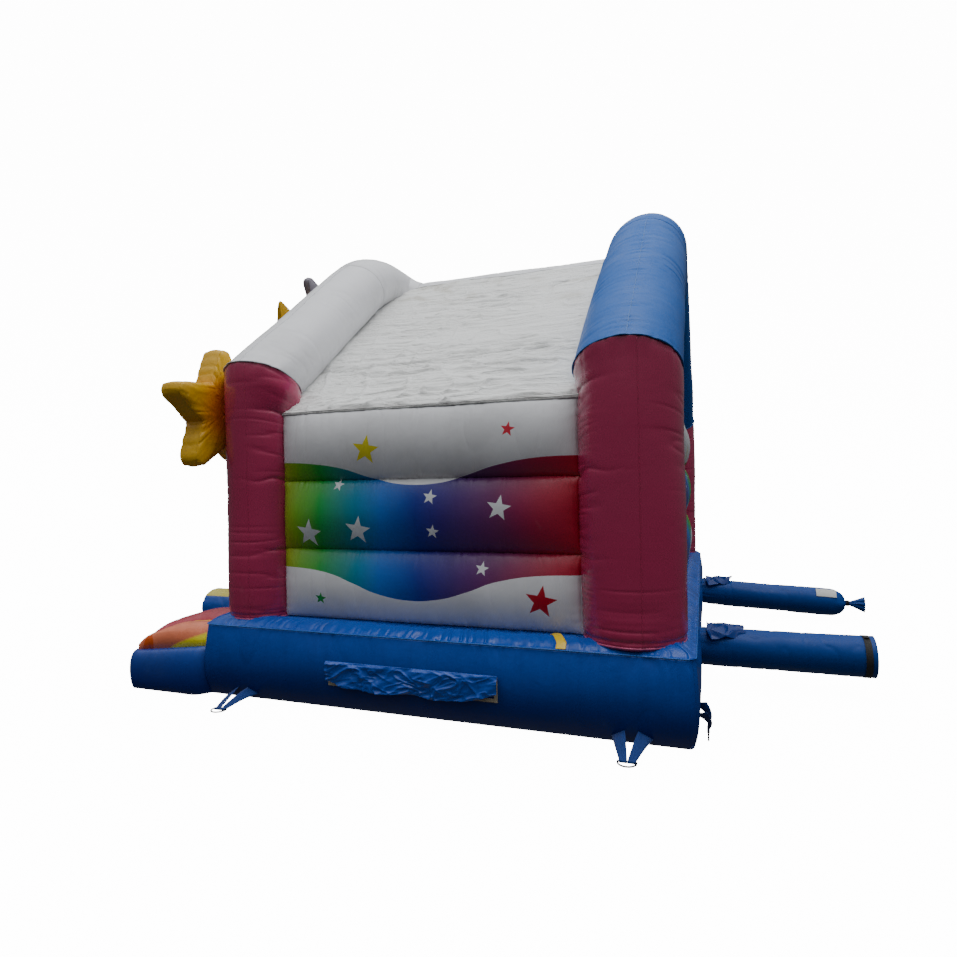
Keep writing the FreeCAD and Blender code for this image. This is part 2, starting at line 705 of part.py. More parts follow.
def zip_parts():
    """The deflation zip on the right side: tape frame, coil, slider, pull and cover."""
    low = size("zip_low_z")
    high = size("zip_high_z")
    long = size("zip_length")
    start = size("zip_middle_y") - long / 2
    x = size("zip_x")
    thick = size("web_thick")
    tape = size("zip_tape")
    fit = size("fit_gap")
    frame = Part.makeBox(thick, long, high - low, vec(x, start, low))
    window = Part.makeBox(thick, long - 2 * tape, high - low - 2 * tape,
                          vec(x, start + tape, low + tape))
    middle = (low + high) / 2
    feature("zip_frame", frame.cut(window))
    half_gap = size("zip_gap") / 2
    coil_high = half_gap - 3
    coil_long = long - 2 * (tape + fit)
    halves = []
    for side in (-1, 1):
        centre = middle + side * half_gap
        halves.append(Part.makeBox(thick, coil_long, coil_high,
                                   vec(x, start + tape + fit, centre - coil_high / 2)))
    feature("zip_coils", Part.makeCompound(halves))

    body = doc.addObject("PartDesign::Body", "slider_body")
    sketch = body.newObject("Sketcher::SketchObject", "slider_outline")
    plane = next(item for item in body.Origin.OriginFeatures if item.Role == "YZ_Plane")
    sketch.AttachmentSupport = [(plane, "")]
    sketch.MapMode = "FlatFace"
    half_long = size("slider_long") / 2
    half_wide = size("slider_wide") / 2
    nose = 0.6 * half_wide
    corners = [(-half_long, -nose), (half_long, -half_wide),
               (half_long, half_wide), (-half_long, nose)]
    for index, corner in enumerate(corners):
        following = corners[(index + 1) % len(corners)]
        sketch.addGeometry(Part.LineSegment(vec(*corner, 0), vec(*following, 0)), False)
    pad = body.newObject("PartDesign::Pad", "slider_pad")
    pad.Profile = sketch
    pad.setExpression("Length", "dims.slider_thick")
    bind(body, x="dims.zip_x + dims.web_thick + dims.fit_gap", y="dims.slider_start_y",
         z="(dims.zip_low_z + dims.zip_high_z) / 2")
    keep(body, "zip_slider")

    pull_x = x + thick + fit + size("slider_thick") + fit
    pull = Part.makeBox(size("pull_thick"), size("pull_wide"), size("pull_long"),
                        vec(pull_x, size("slider_start_y") - size("pull_wide") / 2,
                            middle - size("pull_long")))
    head = Part.makeCylinder(size("pull_wide") / 2, size("pull_thick"),
                             vec(pull_x, size("slider_start_y"), middle), vec(1, 0, 0))
    feature("zip_pull", pull.fuse(head).removeSplitter())

    cover = add("Part::Box", "cover", Length="dims.flap_thick", Width="dims.cover_length",
                Height="dims.cover_high_z - dims.cover_low_z", x="dims.cover_x",
                y="dims.zip_middle_y - dims.cover_length / 2", z="dims.cover_low_z")
    keep(cover, "zip_cover_flap")


def margin_tab():
    """A yellow strip welded across the bed's margin beside the right wall."""
    tab = add("Part::Box", "tab", Length="dims.tab_long", Width="dims.tab_wide",
              Height="dims.tab_thick", x="dims.crown_half_x - dims.tab_long",
              y="dims.tab_y - dims.tab_wide / 2", z="dims.bed_crown_z")
    keep(tab, "margin_tab")


bed_sheets()
bed_sides()
bed_baffles()
ramp()
columns()
rafters()
crowns()
eave_baffles()
ridge()
roof_sheets()
walls()
stars()
open_sleeve()
tied_sleeve()
sleeve_label()
sleeve_hoods()
anchors()
zip_parts()
margin_tab()
doc.recompute()

for item in doc.Objects:
    if "Invalid" in item.State or "Error" in item.State:
        raise RuntimeError(f"{item.Label} failed: {item.State}")
for item in subparts:
    if item.Shape.isNull() or not item.Shape.isValid():
        raise RuntimeError(f"{item.Label} has no valid shape")

os.makedirs("parts", exist_ok=True)
for item in subparts:
    item.Shape.exportStep(f"parts/{item.Label}.step")
print(len(subparts), "sub-parts")
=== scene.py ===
import math

import bpy
import numpy as np
from mathutils import Matrix, Vector


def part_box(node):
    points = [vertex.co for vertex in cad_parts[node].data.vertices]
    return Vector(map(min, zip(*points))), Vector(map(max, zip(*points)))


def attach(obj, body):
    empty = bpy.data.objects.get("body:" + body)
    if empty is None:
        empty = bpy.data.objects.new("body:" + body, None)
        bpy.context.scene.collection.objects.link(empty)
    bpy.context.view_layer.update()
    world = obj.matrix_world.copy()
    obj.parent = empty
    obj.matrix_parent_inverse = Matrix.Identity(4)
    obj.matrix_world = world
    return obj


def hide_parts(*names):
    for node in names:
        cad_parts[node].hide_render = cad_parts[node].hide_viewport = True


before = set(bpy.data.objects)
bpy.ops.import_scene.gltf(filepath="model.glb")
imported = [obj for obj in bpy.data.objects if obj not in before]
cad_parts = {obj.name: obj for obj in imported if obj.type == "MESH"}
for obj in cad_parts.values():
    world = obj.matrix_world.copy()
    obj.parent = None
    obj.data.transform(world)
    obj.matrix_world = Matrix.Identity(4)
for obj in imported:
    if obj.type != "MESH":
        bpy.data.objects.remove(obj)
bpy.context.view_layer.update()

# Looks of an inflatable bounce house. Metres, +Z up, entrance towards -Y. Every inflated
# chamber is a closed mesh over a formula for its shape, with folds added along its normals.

TAU = 2 * math.pi
HOUSE = "house"
VINYL = 0.003
CLOTH = 0.0015
THIN_WELT = 0.0028
WELT = 0.0035
STRAP = 0.0024
LOOP = 0.007
LOOP_ARM = 0.0225
LOOP_STEPS = 22
PIN_INSET = 0.005


# ------------------------------------------------------------------ sizes read from the frame

def low(node):
    return np.array(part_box(node)[0])


def high(node):
    return np.array(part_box(node)[1])


def centre_of(node):
    return (low(node) + high(node)) / 2


def half_size(node):
    return (high(node) - low(node)) / 2


def unit(value):
    """The value, held between 0 and 1."""
    return np.clip(value, 0, 1)


def rounded(value):
    """A quarter circle's height: 0 at 0, level from 1 on."""
    return np.sqrt(1 - (1 - unit(value)) ** 2)


def turns(count):
    """Angles, evenly round a ring."""
    return np.arange(count) / count * TAU


def crossed(down, across):
    """Two rows of values as the rows and columns of a grid."""
    return down[:, None] + 0 * across[None, :], across[None, :] + 0 * down[:, None]


SKIN = high("bed_underside")[2]
BED_X = high("bed_underside")[0]
BED_Y = high("bed_underside")[1]
EDGE_Z = high("bed_side_front")[2] + SKIN
CROWN_Z = high("jumping_bed_sheet")[2]
SIDE_SEAMS = [low(f"side_wall_right_{part}")[2] for part in ("low", "middle", "top")]
SIDE_SEAMS.append(high("side_wall_right_top")[2])
BACK_SEAMS = [low(f"back_wall_{part}")[2] for part in ("low", "middle", "top")]
BACK_SEAMS.append(high("back_wall_top")[2])
ROOF_FOOT = SIDE_SEAMS[-1] + 0.026
SLOPE = math.radians(37.3)
TILT = (math.pi / 2 - SLOPE) / 2
COLUMN_X = centre_of("column_back_right")[0]
EAVE_BAFFLE = 0.004


class Frame:
    """One end's columns and arch: place, radius, eave height and crown bend."""

    def __init__(self, end):
        column = f"column_{end}_right"
        self.y = centre_of(column)[1]
        self.radius = half_size(column)[1]
        self.eave = high(column)[2] - self.radius * math.tan(TILT) + EAVE_BAFFLE
        apex = high(f"crown_{end}")[2] - self.radius
        rise = self.eave + COLUMN_X * math.tan(SLOPE) - apex
        self.bend = rise / (1 / math.cos(SLOPE) - 1)
        self.straight = (COLUMN_X - self.bend * math.sin(SLOPE)) / math.cos(SLOPE)
        self.length = 2 * self.straight + 2 * self.bend * SLOPE
        self.centre_z = apex - self.bend
        self.flat = 0.10 if end == "front" else 0.03

    def line(self, along):
        """Centre line of the arch and its outward direction, both in x and z."""
        half = self.length / 2
        side = np.where(along < half, 1.0, -1.0)
        near = np.where(along < half, along, self.length - along)
        angle = np.clip(SLOPE - (near - self.straight) / self.bend, 0, SLOPE)
        bent = near > self.straight
        x = np.where(bent, self.bend * np.sin(angle), COLUMN_X - near * math.cos(SLOPE))
        z = np.where(bent, self.centre_z + self.bend * np.cos(angle),
                     self.eave + near * math.sin(SLOPE))
        z = z - self.flat * np.exp(-(x / 0.42) ** 2)
        return side * x, z, side * np.sin(angle), np.cos(angle)


FRONT = Frame("front")
BACK = Frame("back")


# ------------------------------------------------------------------ noise and folds

LATTICE = 64
RANDOM = np.random.default_rng(11).uniform(-1, 1, (LATTICE, LATTICE))


def noise(across, along, seed=0, wrap=LATTICE):
    """Smooth noise from -1 to 1; across repeats every wrap cells."""
    across, along = np.broadcast_arrays(np.asarray(across, float),
                                        np.asarray(along, float) + 7.31 * seed)
    cell_a = np.floor(across).astype(int)
    cell_b = np.floor(along).astype(int)
    part_a = across - cell_a
    part_b = along - cell_b
    part_a = part_a * part_a * (3 - 2 * part_a)
    part_b = part_b * part_b * (3 - 2 * part_b)
    shift = 13 * seed
    a0 = (cell_a % wrap + shift) % LATTICE
    a1 = ((cell_a + 1) % wrap + shift) % LATTICE
    b0 = cell_b % LATTICE
    b1 = (cell_b + 1) % LATTICE
    start = RANDOM[a0, b0] * (1 - part_a) + RANDOM[a1, b0] * part_a
    end = RANDOM[a0, b1] * (1 - part_a) + RANDOM[a1, b1] * part_a
    return start * (1 - part_b) + end * part_b


def ridges(across, along, seed=0, wrap=LATTICE, sharp=3):
    """Thin crests on a flat ground, 0 to 1."""
    return (1 - np.abs(noise(across, along, seed, wrap))) ** sharp


def puckers(along, away, pitch, reach, seed):
    """Short folds square to a seam, deepest on it: 0 to 1."""
    sway = 0.35 * noise(along / (6 * pitch), away / reach, seed + 5)
    crest = ridges(along / pitch + sway, away / (5 * reach), seed, sharp=2)
    patchy = 0.55 + 0.45 * noise(along / (9 * pitch), 0, seed + 9)
    return crest * patchy * np.exp(-away / reach)


# ------------------------------------------------------------------ meshes

def normals(grid, around):
    """Unit normals of a grid of points; around says that its columns close up."""
    if around:
        across = np.roll(grid, -1, 1) - np.roll(grid, 1, 1)
    else:
        across = np.gradient(grid, axis=1)
    normal = np.cross(across, np.gradient(grid, axis=0))
    return normal / np.maximum(np.linalg.norm(normal, axis=2, keepdims=True), 1e-12)


def add_mesh(name, points, quads, material, triangles=None, body=HOUSE, replaced=(),
             slot=None):
    """A smooth-shaded piece that rides on a body and may stand for CAD nodes."""
    points = np.asarray(points, float).reshape(-1, 3)
    quads = np.asarray(quads, int).reshape(-1, 4)
    triangles = np.asarray([] if triangles is None else triangles, int).reshape(-1, 3)
    halves = np.concatenate([quads[:, :3], quads[:, [0, 2, 3]], triangles])
    first, second, third = (points[halves[:, index]] for index in range(3))
    if np.einsum("ij,ij->i", first, np.cross(second, third)).sum() < 0:
        quads = quads[:, ::-1]
        triangles = triangles[:, ::-1]
    mesh = bpy.data.meshes.new(name)
    mesh.vertices.add(len(points))
    mesh.vertices.foreach_set("co", points.ravel())
    corners = np.concatenate([quads.ravel(), triangles.ravel()]).astype(np.int32)
    sizes = np.concatenate([np.full(len(quads), 4), np.full(len(triangles), 3)])
    mesh.loops.add(len(corners))
    mesh.loops.foreach_set("vertex_index", corners)
    mesh.polygons.add(len(sizes))
    starts = np.concatenate([[0], np.cumsum(sizes)[:-1]]).astype(np.int32)
    mesh.polygons.foreach_set("loop_start", starts)
    mesh.update(calc_edges=True)
    mesh.materials.append(material)
    mesh.shade_smooth()
    piece = bpy.data.objects.new(name, mesh)
    bpy.context.collection.objects.link(piece)
    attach(piece, body)
    if replaced:
        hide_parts(*replaced)
    return piece


def weave_quads(rows, columns, around, first=0):
    """Corner numbers of a grid's quads, for points stored row by row."""
    index = first + np.arange(rows * columns).reshape(rows, columns)
    after = np.roll(index, -1, 1)
    if not around:
        index = index[:, :-1]
        after = after[:, :-1]
    return np.stack([index[:-1], after[:-1], after[1:], index[1:]], axis=-1).reshape(-1, 4)


def closed_tube(name, grid, material, **words):
    """A closed piece over rows of rings; its first and last rings are drawn to their middles."""
    rows, columns = grid.shape[:2]
    count = rows * columns
    points = np.concatenate([grid.reshape(-1, 3), grid[:1].mean(axis=1), grid[-1:].mean(axis=1)])
    ring = np.arange(columns)
    after = (ring + 1) % columns
    start = np.stack([np.full(columns, count), after, ring], axis=-1)
    top = count - columns
    end = np.stack([np.full(columns, count + 1), top + ring, top + after], axis=-1)
    return add_mesh(name, points, weave_quads(rows, columns, True), material,
                    np.concatenate([start, end]), **words)


def closed_sheet(name, grid, thick, material, **words):
    """A sheet with a thickness, over a grid of points on its outer face."""
    rows, columns = grid.shape[:2]
    count = rows * columns
    inner = grid - normals(grid, False) * thick
    points = np.concatenate([grid.reshape(-1, 3), inner.reshape(-1, 3)])
    index = np.arange(count).reshape(rows, columns)
    rim = np.concatenate([index[0], index[1:, -1], index[-1, -2::-1], index[-2:0:-1, 0]])
    after = np.roll(rim, -1)
    edge = np.stack([after, rim, rim + count, after + count], axis=-1)
    faces = [weave_quads(rows, columns, False),
             weave_quads(rows, columns, False, count)[:, ::-1], edge]
    return add_mesh(name, points, np.concatenate(faces), material, **words)


def ring_piece(name, grid, material, **words):
    """A closed piece over rings whose last ring meets the first again."""
    rows, columns = grid.shape[:2]
    last = (rows - 1) * columns + np.arange(columns)
    joint = np.stack([last, np.roll(last, -1), np.roll(last, -1) - last[0],
                      last - last[0]], axis=-1)
    return add_mesh(name, grid, np.concatenate([weave_quads(rows, columns, True), joint]),
                    material, **words)


def welt(name, path, radius, material, closed=False, **words):
    """A welded seam: a thin tube along a path."""
    path = np.asarray(path)
    ahead = np.roll(path, -1, 0) - np.roll(path, 1, 0) if closed else np.gradient(path, axis=0)
    ahead = ahead / np.linalg.norm(ahead, axis=1, keepdims=True)
    guide = np.where(np.abs(ahead[:, 2:3]) > 0.9, [[1.0, 0, 0]], [[0, 0, 1.0]])
    side = np.cross(ahead, guide)
    side = side / np.linalg.norm(side, axis=1, keepdims=True)
    up = np.cross(side, ahead)
    angles = turns(8)
    grid = (path[:, None] + radius * (np.cos(angles)[None, :, None] * side[:, None]
                                      + np.sin(angles)[None, :, None] * up[:, None]))
    if closed:
        return ring_piece(name, grid, material, **words)
    return closed_tube(name, grid, material, **words)


# ------------------------------------------------------------------ materials

class Paint:
    """A node material with short calls for the nodes that it is made of."""

    def __init__(self, name, rough=0.4, coat=0.0, sheen=0.0, metal=0.0, gloss=0.35):
        self.material = bpy.data.materials.new(name)
        self.material.use_nodes = True
        self.nodes = self.material.node_tree.nodes
        self.links = self.material.node_tree.links
        self.shader = self.nodes["Principled BSDF"]
        self.shader.inputs["Roughness"].default_value = rough
        self.shader.inputs["Coat Weight"].default_value = coat
        self.shader.inputs["Specular IOR Level"].default_value = gloss
        self.shader.inputs["Coat Roughness"].default_value = 0.2
        self.shader.inputs["Sheen Weight"].default_value = sheen
        self.shader.inputs["Metallic"].default_value = metal
        self.place = self.nodes.new("ShaderNodeTexCoord").outputs["Object"]
        parts = self.nodes.new("ShaderNodeSeparateXYZ")
        self.links.new(self.place, parts.inputs[0])
        self.x, self.y, self.z = parts.outputs

    def feed(self, socket, value):
        if isinstance(value, bpy.types.NodeSocket):
            self.links.new(value, socket)
        elif isinstance(value, (tuple, list)) and len(value) == 3:
            socket.default_value = (*value, 1) if socket.type == "RGBA" else value
        else:
            socket.default_value = value

    def math(self, kind, *values, clamp=False):
        node = self.nodes.new("ShaderNodeMath")
        node.operation = kind
        node.use_clamp = clamp
        for socket, value in zip(node.inputs, values):
            self.feed(socket, value)
        return node.outputs[0]

    def times(self, *values, clamp=False):
        return self.math("MULTIPLY", *values, clamp=clamp)

    def plus(self, *values):
        return self.math("ADD", *values)

    def minus(self, *values):
        return self.math("SUBTRACT", *values)

    def size_of(self, value):
        return self.math("ABSOLUTE", value)

    def length(self, across, up):
        return self.math("SQRT", self.plus(self.times(across, across), self.times(up, up)))

    def mix(self, share, first, second):
        node = self.nodes.new("ShaderNodeMix")
        node.data_type = "RGBA"
        self.feed(node.inputs[0], share)
        self.feed(node.inputs[6], first)
        self.feed(node.inputs[7], second)
        return node.outputs[2]

    def ease(self, value, start, end, low_to=0.0, high_to=1.0):
        """Maps start..end smoothly to low_to..high_to."""
        node = self.nodes.new("ShaderNodeMapRange")
        node.interpolation_type = "SMOOTHSTEP"
        for socket, number in zip(node.inputs, (value, start, end, low_to, high_to)):
            self.feed(socket, number)
        return node.outputs[0]

    def noise(self, scale, detail=3.0, rough=0.5, distort=0.0, stretch=None):
        node = self.nodes.new("ShaderNodeTexNoise")
        node.inputs["Scale"].default_value = scale
        node.inputs["Detail"].default_value = detail
        node.inputs["Roughness"].default_value = rough
        node.inputs["Distortion"].default_value = distort
        self.links.new(self.stretched(stretch), node.inputs["Vector"])
        return node.outputs[0]

    def stretched(self, stretch):
        if stretch is None:
            return self.place
        node = self.nodes.new("ShaderNodeMapping")
        node.inputs["Scale"].default_value = stretch
        self.links.new(self.place, node.inputs["Vector"])
        return node.outputs[0]

    def wave(self, axis, scale, distort=0.0):
        node = self.nodes.new("ShaderNodeTexWave")
        node.bands_direction = axis
        node.inputs["Scale"].default_value = scale
        node.inputs["Distortion"].default_value = distort
        self.links.new(self.place, node.inputs["Vector"])
        return node.outputs["Fac"]

    def curve(self, value, points):
        """A smooth curve through a few points, inputs and outputs both 0 to 1."""
        node = self.nodes.new("ShaderNodeFloatCurve")
        line = node.mapping.curves[0]
        while len(line.points) < len(points):
            line.points.new(0.5, 0.5)
        for point, place in zip(line.points, points):
            point.location = place
        node.mapping.update()
        self.feed(node.inputs["Value"], value)
        return node.outputs[0]

    def ramp(self, value, stops):
        node = self.nodes.new("ShaderNodeValToRGB")
        line = node.color_ramp
        while len(line.elements) < len(stops):
            line.elements.new(0.5)
        for element, (place, colour) in zip(line.elements, stops):
            element.position = place
            element.color = (*colour, 1)
        self.feed(node.inputs[0], value)
        return node.outputs[0]

    def bump(self, height, distance, strength=1.0, under=None):
        node = self.nodes.new("ShaderNodeBump")
        node.inputs["Strength"].default_value = strength
        node.inputs["Distance"].default_value = distance
        self.feed(node.inputs["Height"], height)
        if under is not None:
            self.feed(node.inputs["Normal"], under)
        return node.outputs[0]

    def finish(self, colour, normal=None, rough=None):
        self.feed(self.shader.inputs["Base Color"], colour)
        if normal is not None:
            self.feed(self.shader.inputs["Normal"], normal)
        if rough is not None:
            self.feed(self.shader.inputs["Roughness"], rough)
        return self.material


def linear(red, green, blue):
    """Display values from 0 to 1, as linear light."""
    return tuple(value ** 2.2 for value in (red, green, blue))


def fabric_bump(paint, crinkle=0.004, weave=0.00025, grain=700):
    """Soft crinkles, fine creases and the woven scrim that shows through coated cloth."""
    soft = paint.noise(7, 4, 0.55, 0.6)
    wander = paint.noise(20, 2, 0.4, 0.6, (0.6, 0.6, 2.2))
    fine = paint.size_of(paint.minus(wander, 0.5))
    crease = paint.ease(fine, 0.0, 0.09)
    normal = paint.bump(soft, 2.2 * crinkle)
    normal = paint.bump(crease, 0.35 * crinkle, 0.12, normal)
    threads = paint.math("MAXIMUM", paint.wave("Z", grain / 20), paint.wave("Y", grain / 20))
    return paint.bump(threads, weave, 0.35, normal)


def worn(paint, colour, dirt=0.18, grime=(0.12, 0.11, 0.10)):
    """Colour that varies over the cloth, with dirt in soft patches and rubbed light spots."""
    patches = paint.ease(paint.noise(1.7, 5, 0.6), 0.42, 0.72)
    rubbed = paint.ease(paint.noise(9, 6, 0.7, 0.4), 0.6, 0.78)
    base = paint.mix(paint.times(patches, dirt), colour, grime)
    return paint.mix(paint.times(rubbed, 0.02), base, (0.8, 0.8, 0.8))


def uneven(paint, middle, spread=0.10):
    return paint.ease(paint.noise(4, 4, 0.6), 0.3, 0.7, middle - spread, middle + spread)


def vinyl(name, colour, rough=0.36, coat=0.25, dirt=0.12, crinkle=0.0018, gloss=0.35):
    paint = Paint(name, rough, coat, gloss=gloss)
    return paint.finish(worn(paint, colour, dirt), fabric_bump(paint, crinkle),
                        uneven(paint, rough, 0.06))


def ground_vinyl(name, upper, lower, rough=0.32, coat=0.3, gloss=0.35):
    """Blue vinyl of the bed, with painted shade that darkens it towards the ground."""
    paint = Paint(name, rough, coat, gloss=gloss)
    # Painted shade: the upper blue fades to the lower one towards the ground, broken by soft
    # vertical streaks.
    height = paint.ease(paint.z, 0.05, 0.46)
    streaks = paint.noise(5, 4, 0.6, 0.0, (3, 3, 0.35))
    shade = paint.times(height, paint.ease(streaks, 0.2, 0.8, 0.8, 1.0))
    colour = paint.mix(shade, lower, upper)
    return paint.finish(worn(paint, colour, 0.08), fabric_bump(paint, 0.0018),
                        uneven(paint, rough, 0.06))


BLUE = linear(0.0, 0.30, 0.68)
# The darker blue of the painted shade towards the ground.
BLUE_IN_PAINTED_SHADE = linear(0.0, 0.14, 0.42)
PINK = linear(0.67, 0.20, 0.35)
WHITE = linear(0.86, 0.86, 0.87)
SKY = linear(0.0, 0.34, 0.65)
YELLOW = linear(0.86, 0.66, 0.04)
ORANGE = linear(0.90, 0.46, 0.12)
BLACK = linear(0.05, 0.05, 0.055)

BED_PAINT = ground_vinyl("blue_bed_vinyl", BLUE, BLUE_IN_PAINTED_SHADE)
MARGIN_PAINT = ground_vinyl("blue_margin_vinyl", linear(0.0, 0.30, 0.66), BLUE_IN_PAINTED_SHADE, 0.24, 0.10,
                            0.22)
BASE_PAINT = ground_vinyl("heavy_blue_vinyl", linear(0.0, 0.18, 0.44), BLUE_IN_PAINTED_SHADE, 0.5)
TAB_PAINT = vinyl("yellow_tab", linear(0.90, 0.74, 0.05), 0.35, 0.3, 0.10, 0.002)
PINK_PAINT = vinyl("pink_vinyl", PINK, 0.26, 0.6, 0.06, 0.0008)
WHITE_PAINT = vinyl("white_vinyl", WHITE, 0.42, 0.15, 0.16)
SKY_PAINT = vinyl("sky_blue_vinyl", SKY, 0.42, 0.0, 0.05, 0.002, 0.15)
SEAM_PINK = vinyl("pink_welt", linear(0.80, 0.36, 0.52), 0.4, 0.2)
# A near-black welt for the roof's top seam: a real seam, whose dark colour is painted shade for
# the shade line under the ridge tube.
SHADE_LINE_SEAM = vinyl("roof_top_seam_painted_shade", linear(0.16, 0.17, 0.22), 0.5, 0.0)
# The bed's rim welt: a real seam, painted lighter than the bed as a painted highlight.
HIGHLIGHT_SEAM_BLUE = vinyl("blue_seam_painted_highlight", linear(0.10, 0.38, 0.70), 0.4, 0.2)
SEAM_SKY = vinyl("sky_seam", linear(0.16, 0.40, 0.68), 0.45, 0.1)
SEAM_GREY = vinyl("grey_seam", linear(0.50, 0.50, 0.49), 0.6, 0.0)
SEAM_WHITE = vinyl("white_seam", linear(0.78, 0.78, 0.80), 0.5, 0.0)


def star_mask(paint, across, up, middle, radius, turn):
    """1 inside a five-pointed star that is printed round a point, turned by some degrees."""
    dx = paint.minus(across, middle[0])
    dz = paint.minus(up, middle[1])
    angle = paint.plus(paint.math("ARCTAN2", dx, dz), math.radians(turn) + TAU)
    fold = paint.math("PINGPONG", angle, math.pi / 5)
    reach = paint.length(dx, dz)
    valley = 0.42 * radius
    edge = np.array([valley * math.cos(math.pi / 5) - radius, valley * math.sin(math.pi / 5)])
    normal = np.array([edge[1], -edge[0]]) / np.linalg.norm(edge)
    first = paint.times(paint.math("COSINE", fold), normal[0])
    second = paint.times(paint.math("SINE", fold), normal[1])
    off = paint.times(reach, paint.plus(first, second))
    return paint.ease(off, normal[0] * radius + 0.0015, normal[0] * radius - 0.0015)


RAINBOW = ((0.00, linear(0.62, 0.68, 0.16)), (0.07, linear(0.42, 0.66, 0.18)),
           (0.15, linear(0.12, 0.60, 0.22)), (0.25, linear(0.06, 0.50, 0.52)),
           (0.37, linear(0.06, 0.38, 0.72)), (0.50, linear(0.10, 0.18, 0.55)),
           (0.62, linear(0.26, 0.17, 0.46)), (0.76, linear(0.42, 0.16, 0.36)),
           (0.88, linear(0.60, 0.14, 0.26)), (1.00, linear(0.70, 0.10, 0.20)))
PRINTED_STARS = (
    (0.33, 1.721, 0.105, "yellow"), (0.80, 1.819, 0.050, "red"), (0.215, 1.485, 0.045, "white"),
    (0.546, 1.396, 0.052, "white"), (0.11, 1.148, 0.105, "white"), (0.295, 1.173, 0.100, "white"),
    (0.553, 1.168, 0.048, "white"), (0.768, 1.322, 0.085, "white"), (0.71, 0.932, 0.048, "white"),
    (0.154, 0.694, 0.045, "green"), (0.89, 0.742, 0.105, "dark red"))
STAR_INKS = {"yellow": linear(0.85, 0.80, 0.18), "red": linear(0.80, 0.12, 0.22),
             "white": linear(0.84, 0.85, 0.86), "green": linear(0.10, 0.58, 0.24),
             "dark red": linear(0.68, 0.07, 0.16)}
UPPER_WAVE = ((0.0, 0.83), (0.10, 0.81), (0.22, 0.74), (0.35, 0.57), (0.46, 0.49),
              (0.56, 0.50), (0.66, 0.60), (0.76, 0.72), (0.88, 0.80), (1.0, 0.815))
LOWER_WAVE = ((0.0, 0.78), (0.09, 0.775), (0.18, 0.72), (0.28, 0.57), (0.38, 0.41),
              (0.48, 0.35), (0.56, 0.38), (0.66, 0.51), (0.76, 0.68), (0.88, 0.775),
              (1.0, 0.79))


def printed_wall(name, axis, start, width, outer_from):
    """White vinyl with a rainbow band between two waves, and stars; plain on the inner side."""
    paint = Paint(name, 0.42, 0.18)
    along = paint.y if axis == "y" else paint.x
    through = paint.x if axis == "y" else paint.y
    share = paint.math("DIVIDE", paint.minus(along, start), width, clamp=True)
    top = paint.plus(paint.times(paint.curve(share, UPPER_WAVE), 0.5), 1.235)
    foot = paint.plus(paint.times(paint.curve(share, LOWER_WAVE), 0.45), 0.55)
    edge = 0.0015
    under_top = paint.ease(paint.minus(top, paint.z), -edge, edge)
    over_foot = paint.ease(paint.minus(paint.z, foot), -edge, edge)
    band = paint.times(under_top, over_foot)
    waver = paint.times(paint.minus(paint.noise(2.2, 1), 0.5), 0.05)
    colours = paint.ramp(paint.plus(share, waver), RAINBOW)
    colour = paint.mix(band, WHITE, colours)
    for place, height, radius, ink in PRINTED_STARS:
        inside = star_mask(paint, along, paint.z, (start + place * width, height), radius, -9)
        colour = paint.mix(inside, colour, STAR_INKS[ink])
    outside = paint.math("GREATER_THAN", paint.size_of(through), outer_from)
    colour = paint.mix(outside, WHITE, colour)
    return paint.finish(worn(paint, colour, 0.14), fabric_bump(paint, 0.0012),
                        uneven(paint, 0.42))


# ------------------------------------------------------------------ air bed

CORNER = 0.05
BAFFLES = 8
ZIP_Y = centre_of("zip_frame")[1]


def around_block(distance, half_x=BED_X, half_y=BED_Y, corner=CORNER, middle_y=0.0):
    """Plan of a rounded block's rim: x, y and outward direction, from the right side on."""
    side_x = 2 * (half_x - corner)
    side_y = 2 * (half_y - corner)
    arc = corner * math.pi / 2
    total = 2 * (side_x + side_y) + 4 * arc
    distance = np.mod(distance + side_y / 2, total)
    x = np.zeros_like(distance)
    y = np.zeros_like(distance)
    angle = np.zeros_like(distance)
    start = 0.0
    spot = np.array([half_x, -side_y / 2])
    heading = math.pi / 2
    for length in (side_y, side_x, side_y, side_x):
        ahead = np.array([math.cos(heading), math.sin(heading)])
        here = (distance >= start) & (distance <= start + length)
        x = np.where(here, spot[0] + ahead[0] * (distance - start), x)
        y = np.where(here, spot[1] + ahead[1] * (distance - start), y)
        angle = np.where(here, heading - math.pi / 2, angle)
        start += length
        spot = spot + ahead * length
        left = np.array([-ahead[1], ahead[0]])
        middle = spot + left * corner
        here = (distance > start) & (distance < start + arc)
        turn = heading - math.pi / 2 + (distance - start) / corner
        x = np.where(here, middle[0] + corner * np.cos(turn), x)
        y = np.where(here, middle[1] + corner * np.sin(turn), y)
        angle = np.where(here, turn, angle)
        start += arc
        heading += math.pi / 2
        spot = middle + corner * np.array([math.cos(heading - math.pi / 2),
                                           math.sin(heading - math.pi / 2)])
    return x, y + middle_y, np.cos(angle), np.sin(angle)


